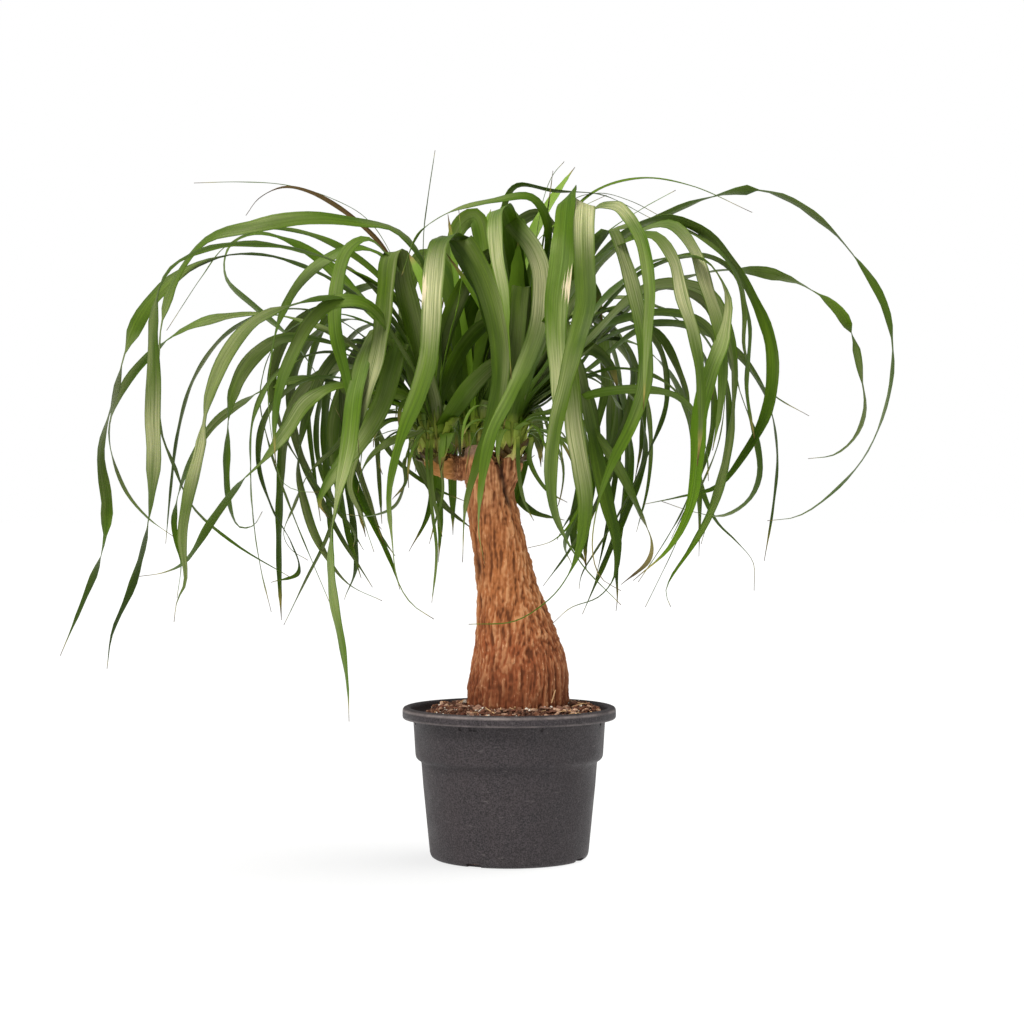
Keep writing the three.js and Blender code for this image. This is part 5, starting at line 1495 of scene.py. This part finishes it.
def seen_sides(points, alongs, facings, shares):
    """Which way the width points, when its turn from the viewer is given."""
    views = points - EYE
    views /= np.linalg.norm(views, axis=1, keepdims=True)
    flat = np.cross(views, alongs)
    flat /= np.linalg.norm(flat, axis=1, keepdims=True)
    deep = np.cross(alongs, flat)
    turn = np.radians([from_table(facings, share) for share in shares])[:, None]
    sides = flat * np.cos(turn) + deep * np.sin(turn)
    base = side_of_base(points)
    if base @ sides[0] < 0:
        base = -base
    clasp = np.clip(1 - shares / CLASP, 0, 1)[:, None]
    return sides * (1 - clasp) + base * clasp


def lay_blade(gather, model, line, width, turns, profile, look, head_name=None, crosses=False):
    """Lays a copy of the blade along a line. The look holds the numbers for its finish."""
    rows = model["rows"]
    width, thread_at = width if isinstance(width, list) else (width, 1.0)
    shares = np.linspace(0, 1, rows + 1)
    sides = carried_sides(line, turns, head_name, shares) if not isinstance(turns[0], list) else None
    if head_name:
        line = sheathed(line, HEADS[head_name])
    points, length = spaced_points(line, rows + 1)
    if head_name and not crosses:
        points = keep_side(points, head_name)
    alongs = directions(points)
    if sides is None:
        sides = seen_sides(points, alongs, turns, shares)
    across = square_to(alongs, sides)
    up = np.cross(alongs, across)
    half = np.array([width * from_table(profile, min(1, share / thread_at)) for share in shares]) / 2
    half = np.maximum(half, np.where(shares < THREAD_END, THREAD, NARROWEST) / 2)
    channel = np.array([from_table(CHANNEL, share) for share in shares])
    wave = RIPPLE_SHARE * np.sin(shares * length / RIPPLE_LENGTH * math.tau + look["tone"] * 40)
    row, u, w = model["row"], model["across"], model["side"]
    lift = channel[row] * half[row] * (np.abs(u) ** 1.5 - 0.4) + wave[row] * half[row] * u
    thick = BLADE_THICKNESS * (1 - MARGIN_THINNING * np.abs(u)) * w
    spots = points[row] + across[row] * (half[row] * u)[:, None] + up[row] * (lift + thick)[:, None]
    from_root = shares[row] * length
    tip = np.clip((from_root - length + look["tip"]) / max(look["tip"], 1), 0, 1)
    torn = np.zeros(len(u))
    if look["tear"]:
        middle, spread, margin = look["tear"]
        torn = np.clip(1 - np.abs(shares[row] - middle) / spread, 0, 1)
        torn = torn * np.clip(u * margin * TEAR_REACH, 0, 1)
    # Wax with a painted sheen: a pale patch some way past the top of the arch, where a hanging face catches
    # the light.
    past_arch = from_root - length * shares[np.argmax(points[:, 2])]
    share, distance = look["bloom"]
    bloom = share * np.exp(-(((past_arch - distance) / BLOOM_AND_SHEEN_SPREAD) ** 2))
    start = look["tone"] * 90
    sideways = u * half[row] * FIBRE_WIDTH + start
    fibre = np.stack([sideways, from_root / FIBRE_LENGTH, np.full(len(u), start)], axis=1)
    gather.add(
        spots,
        model["faces"],
        across=u,
        from_root=from_root / 1000,
        tone=look["tone"],
        fresh=look["fresh"],
        dry=np.maximum(look["dry"], tip),
        torn=torn,
        bloom=bloom,
        fibre_place=fibre,
    )


print("blade thickness:", BLADE_THICKNESS, "mm")

# %% [markdown]
# ### The leaves that the front view doesn't show
# These grow by the rule that made them in the solids: older leaves leave lower and flatter and are longer,
# each bends down from its root, and it wanders a little off its bearing. Young ones stand in the middle.
# Unlike in the solids, the grown leaves are narrower here, as if half folded, and their ends swing
# inwards. That lets light through the lower leaves, as in the photograph. The pairs of numbers are ranges:
# a draw, or the leaf's age, picks a place between the two.

# %% Growing rule
GROWTH = {
    "left": {"seed": 21, "count": 12, "from": 98, "to": 190, "young": 3, "routed": LEFT_LEAVES},
    "right": {"seed": 34, "count": 14, "from": -8, "to": 72, "young": 3, "routed": RIGHT_LEAVES},
    "back": {"seed": 55, "count": 24, "from": 8, "to": 172, "young": 4, "routed": BACK_LEAVES},
}
GROWN = {"length": (600, 430), "rise": (82, 40), "fall": (-78, -128), "bend": (0.66, 0.9)}
GROWN["width"] = (11, 20)
YOUNG = {"length": (190, 330), "rise": (88, 78), "fall": (10, 60), "width": (8, 14)}
GOLDEN = 0.618034
GROWN_STEPS = 9
BEND_FROM = 0.06
SWING_FROM = 0.6
END_SWING = 60.0
WANDER = 70
TWIST = 50
FOLDED_WIDTH = 0.76


def grown_line(head, length, rise, fall, bearing, wander, bend_to):
    points = []
    at = head_spot(head, 20)
    step = length / GROWN_STEPS
    for i in range(GROWN_STEPS):
        fraction = (i + 0.5) / GROWN_STEPS
        bent = smooth(clamp01((fraction - BEND_FROM) / (bend_to - BEND_FROM)))
        swung = clamp01((fraction - SWING_FROM) / (1 - SWING_FROM)) ** 2
        slope = math.radians(mix(rise, fall, bent) - END_SWING * swung * abs(wander) / WANDER)
        heading = math.radians(bearing + wander * (fraction * fraction + swung))
        flat = step * math.cos(slope)
        at = at + (flat * math.cos(heading), flat * math.sin(heading), step * math.sin(slope))
        points.append(at)
    return with_root(head, math.sin(math.radians(rise)), points)


def sideways_share(bearing):
    """Leaves that point straight back are shorter than those that point to a side."""
    return mix(0.66, 1.0, abs(math.cos(math.radians(bearing))) ** 1.5)


def grown_leaves(head_name):
    """Lines, widths and turns of one head's grown leaves, the young ones last."""
    head, rule = HEADS[head_name], GROWTH[head_name]
    draw = make_draw(rule["seed"])
    leaves = []
    for i in range(rule["count"]):
        age = (i + 0.5) / rule["count"]
        spread = (i * GOLDEN + 0.5 * draw() / rule["count"]) % 1
        bearing = mix(rule["from"], rule["to"], spread) + 6 * (draw() - 0.5)
        length = (mix(*GROWN["length"], age) + 90 * (draw() - 0.5)) * sideways_share(bearing)
        rise = mix(*GROWN["rise"], age) + 6 * (draw() - 0.5)
        wander = WANDER * (draw() * 2 - 1)
        fall = mix(*GROWN["fall"], draw())
        bend_to = mix(*GROWN["bend"], draw())
        line = grown_line(head, length, rise, fall, bearing, wander, bend_to)
        twist = TWIST * (draw() * 2 - 1)
        width = mix(*GROWN["width"], draw()) * FOLDED_WIDTH
        leaves.append((line, width, [0, twist * 0.5, twist, -twist * 0.4, twist * 0.6], 0.0))
    for i in range(rule["young"]):
        length = mix(*YOUNG["length"], draw())
        rise = mix(*YOUNG["rise"], draw())
        fall = mix(*YOUNG["fall"], draw())
        line = grown_line(head, length, rise, fall, 360 * ((i * GOLDEN) % 1), 0, 1)
        leaves.append((line, mix(*YOUNG["width"], draw()), [0, 20 * (draw() * 2 - 1)], 1.0))
    return leaves


print("grown leaves of the back head:", len(grown_leaves("back")))

# %% [markdown]
# ### Gathering the heads
# Each head becomes one piece: a core of tight sheaths, its leaves, and a ring of dry husks at its foot.
# Every leaf gets a tone of its own. A few have a look of their own, by their place in the routes: one has
# dried all through, two have long rusty tips, two are torn at a margin, and one young leaf is painted
# bright as a painted backlight, light coming through it. For the leaves that catch the eye, tables give the
# tone, partly their own and partly painted light and shade, and how strong a waxy patch with a painted
# sheen is and how many millimetres past the top of the arch it lies.

# %% Build the heads
CORE_RINGS = [(0, 9.5), (6, 10), (16, 9), (28, 6.5), (38, 3.2), (42, 1.0)]
CORE_SIDES = 24
HUSKS = 18
HUSK_OUT = 11.2
HUSK = {"foot": (-7, 7), "reach": (3, 15), "rise": (4, 13), "sag": (0, 2), "width": (8, 15)}
HUSK_DRYNESS = (0.75, 1.0)
SHORT_LEAVES = {"left": 18, "right": 16, "back": 10}
SHORT = {"length": (60, 140), "rise": (10, 55), "fall": (-30, -100), "bend": (0.7, 1.1), "width": (2.5, 8)}
DRIED_LEAF = ("left", 21)
RUSTY_LEAVES = (("right", 8), ("right", 22))
BACKLIGHT_PAINTED_LEAF = ("right", 32)
TORN_LEAVES = {("right", 3): (0.53, 0.045, -1), ("right", 4): (0.72, 0.05, 1)}
CROSSING_LEAVES = (("left", 29), ("left", 30), ("left", 31))
# Tones for single leaves, partly their own tone and partly painted light and shade: the right head's second
# leaf is darkened as painted shade, where its face turns from the light.
LEAF_TONES_AND_SHADES = {
    "left": {},
    "right": {0: 0.95, 1: 0.05, 2: 0.35, 3: 0.35, 4: 0.6, 16: 0.5, 17: 0.7, 36: 0.1},
    "back": {},
}
# For each leaf, how strong its waxy patch with a painted sheen is, and how far past the arch it lies.
LEAF_BLOOMS_AND_SHEENS = {
    "left": {1: (0.6, 246), 4: (0.55, 215), 11: (0.6, 125), 13: (0.55, 175)},
    "right": {0: (0.6, 90), 1: (0.05, 60), 2: (0.75, 95), 3: (0.8, 112), 4: (0.7, 205), 5: (0.95, 30),
        6: (0.7, 140), 8: (0.5, 50), 16: (0.85, 65), 17: (0.95, 60), 18: (0.75, 50), 19: (0.7, 70)},
    "back": {},
}
COMMON_BLOOM_AND_SHEEN = (0.12, 60)
TIP_LENGTHS = (8, 42)
RUSTY_TIP = 90.0


def leaf_look(draw, fresh=0.0):
    fresh = fresh * (0.5 + 0.4 * draw())
    look = {"tone": draw(), "fresh": fresh, "dry": 0.0, "tip": mix(*TIP_LENGTHS, draw() ** 2)}
    return {**look, "tear": None, "bloom": COMMON_BLOOM_AND_SHEEN}


def add_core(gather, head):
    rings = [(head["x"], head["y"], head["z"] - 1 + up, r, r) for up, r in CORE_RINGS]
    points, faces = mesh_arrays(stack_rings("core", rings, CORE_SIDES))
    points = points / MM
    up = (points[:, 2] - head["z"]) / 1000
    around = np.arctan2(points[:, 1] - head["y"], points[:, 0] - head["x"])
    fibre = np.stack([around * 1.5, up * 4, np.full(len(up), 5.0)], axis=1)
    look = {"across": 0.6, "tone": 0.4, "fresh": 0.8, "dry": 0.0, "torn": 0.0, "bloom": 0.0}
    gather.add(points, faces, from_root=up * 0.3, fibre_place=fibre, **look)


def add_husks(gather, head, draw):
    """Papery rests of old leaf bases, which stand off the stub just under the leaves."""
    for i in range(HUSKS):
        bearing = math.tau * ((i * GOLDEN + 0.03 * draw()) % 1)
        out = np.array([math.cos(bearing), math.sin(bearing), 0.0])
        foot = head_spot(head, mix(*HUSK["foot"], draw())) + out * HUSK_OUT
        reach_out = mix(*HUSK["reach"], draw() ** 1.6)
        tip = foot + out * reach_out + (0, 0, mix(*HUSK["rise"], draw()))
        middle = (foot + tip) / 2 + out * 1.5 - (0, 0, mix(*HUSK["sag"], draw()))
        look = {"tone": draw(), "fresh": 0.0, "dry": mix(*HUSK_DRYNESS, draw()), "tip": 1.0}
        look.update(tear=None, bloom=(0, 0))
        turns = [0, 30 * (draw() - 0.5)]
        line = np.array([foot, middle, tip])
        lay_blade(gather, HUSK_MODEL, line, mix(*HUSK["width"], draw()), turns, HUSK_PROFILE, look)


def add_short_leaves(gather, head_name, draw):
    """The oldest, shortest leaves stand out low all round the foot and droop under the others."""
    head = HEADS[head_name]
    for i in range(SHORT_LEAVES[head_name]):
        bearing = 360 * ((i * GOLDEN + 0.04 * draw()) % 1)
        length = mix(*SHORT["length"], draw() ** 1.3)
        rise = mix(*SHORT["rise"], draw())
        fall = mix(*SHORT["fall"], draw())
        wander = 80 * (draw() - 0.5)
        bend_to = mix(*SHORT["bend"], draw())
        line = grown_line(head, length, rise, fall, bearing, wander, bend_to)
        line[0][2] = head["z"] + mix(0, 12, draw())
        twist = 120 * (draw() - 0.5)
        width = mix(*SHORT["width"], draw())
        look = leaf_look(draw, 0.5 * draw())
        lay_blade(gather, SHORT_MODEL, line, width, [0, twist * 0.3, twist], BLADE_PROFILE, look, head_name)


def build_head(head_name):
    head = HEADS[head_name]
    draw = make_draw(GROWTH[head_name]["seed"] + 100)
    gather = Gatherer("across", "from_root", "tone", "fresh", "dry", "torn", "bloom", "fibre_place")
    add_core(gather, head)
    for i, (width, depths, turns, route) in enumerate(GROWTH[head_name]["routed"]):
        look = leaf_look(draw)
        if (head_name, i) == DRIED_LEAF:
            look["dry"] = 0.9
        if (head_name, i) in RUSTY_LEAVES:
            look["tip"] = RUSTY_TIP
        # Painted backlight: this leaf gets the full young yellow-green, standing in for light through it.
        if (head_name, i) == BACKLIGHT_PAINTED_LEAF:
            look["fresh"] = 1.0
        look["tear"] = TORN_LEAVES.get((head_name, i))
        look["tone"] = LEAF_TONES_AND_SHADES[head_name].get(i, look["tone"])
        look["bloom"] = LEAF_BLOOMS_AND_SHEENS[head_name].get(i, look["bloom"])
        line = routed_line(head, depths, route)
        crosses = (head_name, i) in CROSSING_LEAVES
        lay_blade(gather, LEAF_MODEL, line, width, turns, BLADE_PROFILE, look, head_name, crosses)
    for line, width, turns, fresh in grown_leaves(head_name):
        look = leaf_look(draw, fresh)
        lay_blade(gather, LEAF_MODEL, line, width, turns, BLADE_PROFILE, look, head_name)
    add_husks(gather, head, draw)
    add_short_leaves(gather, head_name, draw)
    piece = gather.build(head_name + "_foliage")
    smooth_by_angle(piece, 50)
    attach(piece, "root")
    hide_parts(head_name + "_head")
    return piece


heads = [build_head(head_name) for head_name in HEADS]
for piece in heads:
    tell(piece)

# %% [markdown]
# ### Finish of the leaves
# A leaf is deep green with fine lengthwise veins and a thin paler midrib. No two leaves have quite the same
# tone. Where there is more wax, a leaf is streaky and greyer: thinly all over, and strongly in the patch
# past its arch. That greyer wax is partly a painted sheen, the pale gleam of a face that catches the light.
# Its base is yellow-green, and its tip dries through straw to brown. The two torn leaves have bleached to
# cream there. Young leaves are a brighter yellow-green, and on one leaf that colour is a painted backlight.
# The attributes that were laid with each blade say where on the leaf a point is. A little light passes
# through a leaf, which is set on the shader as subsurface scattering.

# %% Leaf finish
material, tree, shader, _ = new_finish("strap_leaf")
fibre_place = attribute(tree, "fibre_place", "Vector")
across = put(tree, "Math", {0: attribute(tree, "across")}, operation="ABSOLUTE").outputs[0]
from_root = attribute(tree, "from_root")
tone = attribute(tree, "tone")
colour = tint(tree, tone, paint("2c4508"), paint("4d700e"))
broad = effect(tree, mottle_group, stretch(tree, fibre_place, (0.5, 1.0, 1.0)), Scale=1.6)
colour = layer(tree, colour, "708c1c", broad, 0.4)
veins = effect(tree, fibre_group, stretch(tree, fibre_place, (1.0, 0.4, 1.0)), Scale=6.4)
colour = layer(tree, colour, "1f3404", veins, 0.5)
midrib = reach(tree, across, 0.07, 0.02)
colour = layer(tree, colour, "8dab52", midrib, reach(tree, tone, 0.3, 0.9), 0.18)
# Wax with a painted sheen: pale grey streaks, thin all over and strong in the patch past the arch.
thin_wax_and_sheen = reach(tree, cloud(tree, stretch(tree, fibre_place, (0.2, 1.0, 1.0)), 1.3, 2.0), 0.48, 0.64)
wax_and_sheen = combine(tree, combine(tree, thin_wax_and_sheen, 0.26), attribute(tree, "bloom"), "MAXIMUM")
fine_veins = cloud(tree, stretch(tree, fibre_place, (1.0, 0.3, 1.0)), 11.0, 4.0, 0.65)
fine_veins = reach(tree, fine_veins, 0.36, 0.62, 0.24, 1.0)
colour = layer(tree, colour, "d0ce9c", wax_and_sheen, fine_veins, reach(tree, across, 1.0, 0.8))
# Young leaves' yellow-green, which on one leaf is a painted backlight.
colour = layer(tree, colour, "7ba32a", attribute(tree, "fresh"), 0.85)
colour = layer(tree, colour, "bfcb58", reach(tree, from_root, 0.04, 0.01), 0.9)
colour = layer(tree, colour, "d8c684", reach(tree, from_root, 0.016, 0.003), 0.8)
dry = attribute(tree, "dry")
colour = layer(tree, colour, "8f8544", reach(tree, dry, 0.05, 0.5))
dry_colour = tint(tree, veins, paint("2b230f"), paint("5f4824"))
colour = tint(tree, reach(tree, dry, 0.45, 0.85), colour, dry_colour)
torn = combine(tree, attribute(tree, "torn"), reach(tree, veins, 0.0, 1.0, 0.35, -0.35), "ADD")
colour = layer(tree, colour, "d3c5a3", reach(tree, torn, 0.55, 0.7))
vein_height = cloud(tree, stretch(tree, fibre_place, (1.0, 0.15, 1.0)), 12.0, 3.0)
settings = {
    "Base Color": colour,
    "Roughness": reach(tree, veins, 0.0, 1.0, 0.42, 0.58),
    "Specular IOR Level": 0.24,
    "Specular Tint": (1.0, 0.92, 0.64, 1.0),
    "Subsurface Weight": 0.06,
    "Subsurface Radius": (0.6, 1.0, 0.1),
    "Subsurface Scale": 0.0015,
    "Normal": bump(tree, vein_height, 0.0005, 0.5),
}
feed(tree, shader, settings)
for piece in heads:
    piece.data.materials.append(material)
print("leaf finish:", len(tree.nodes), "nodes")
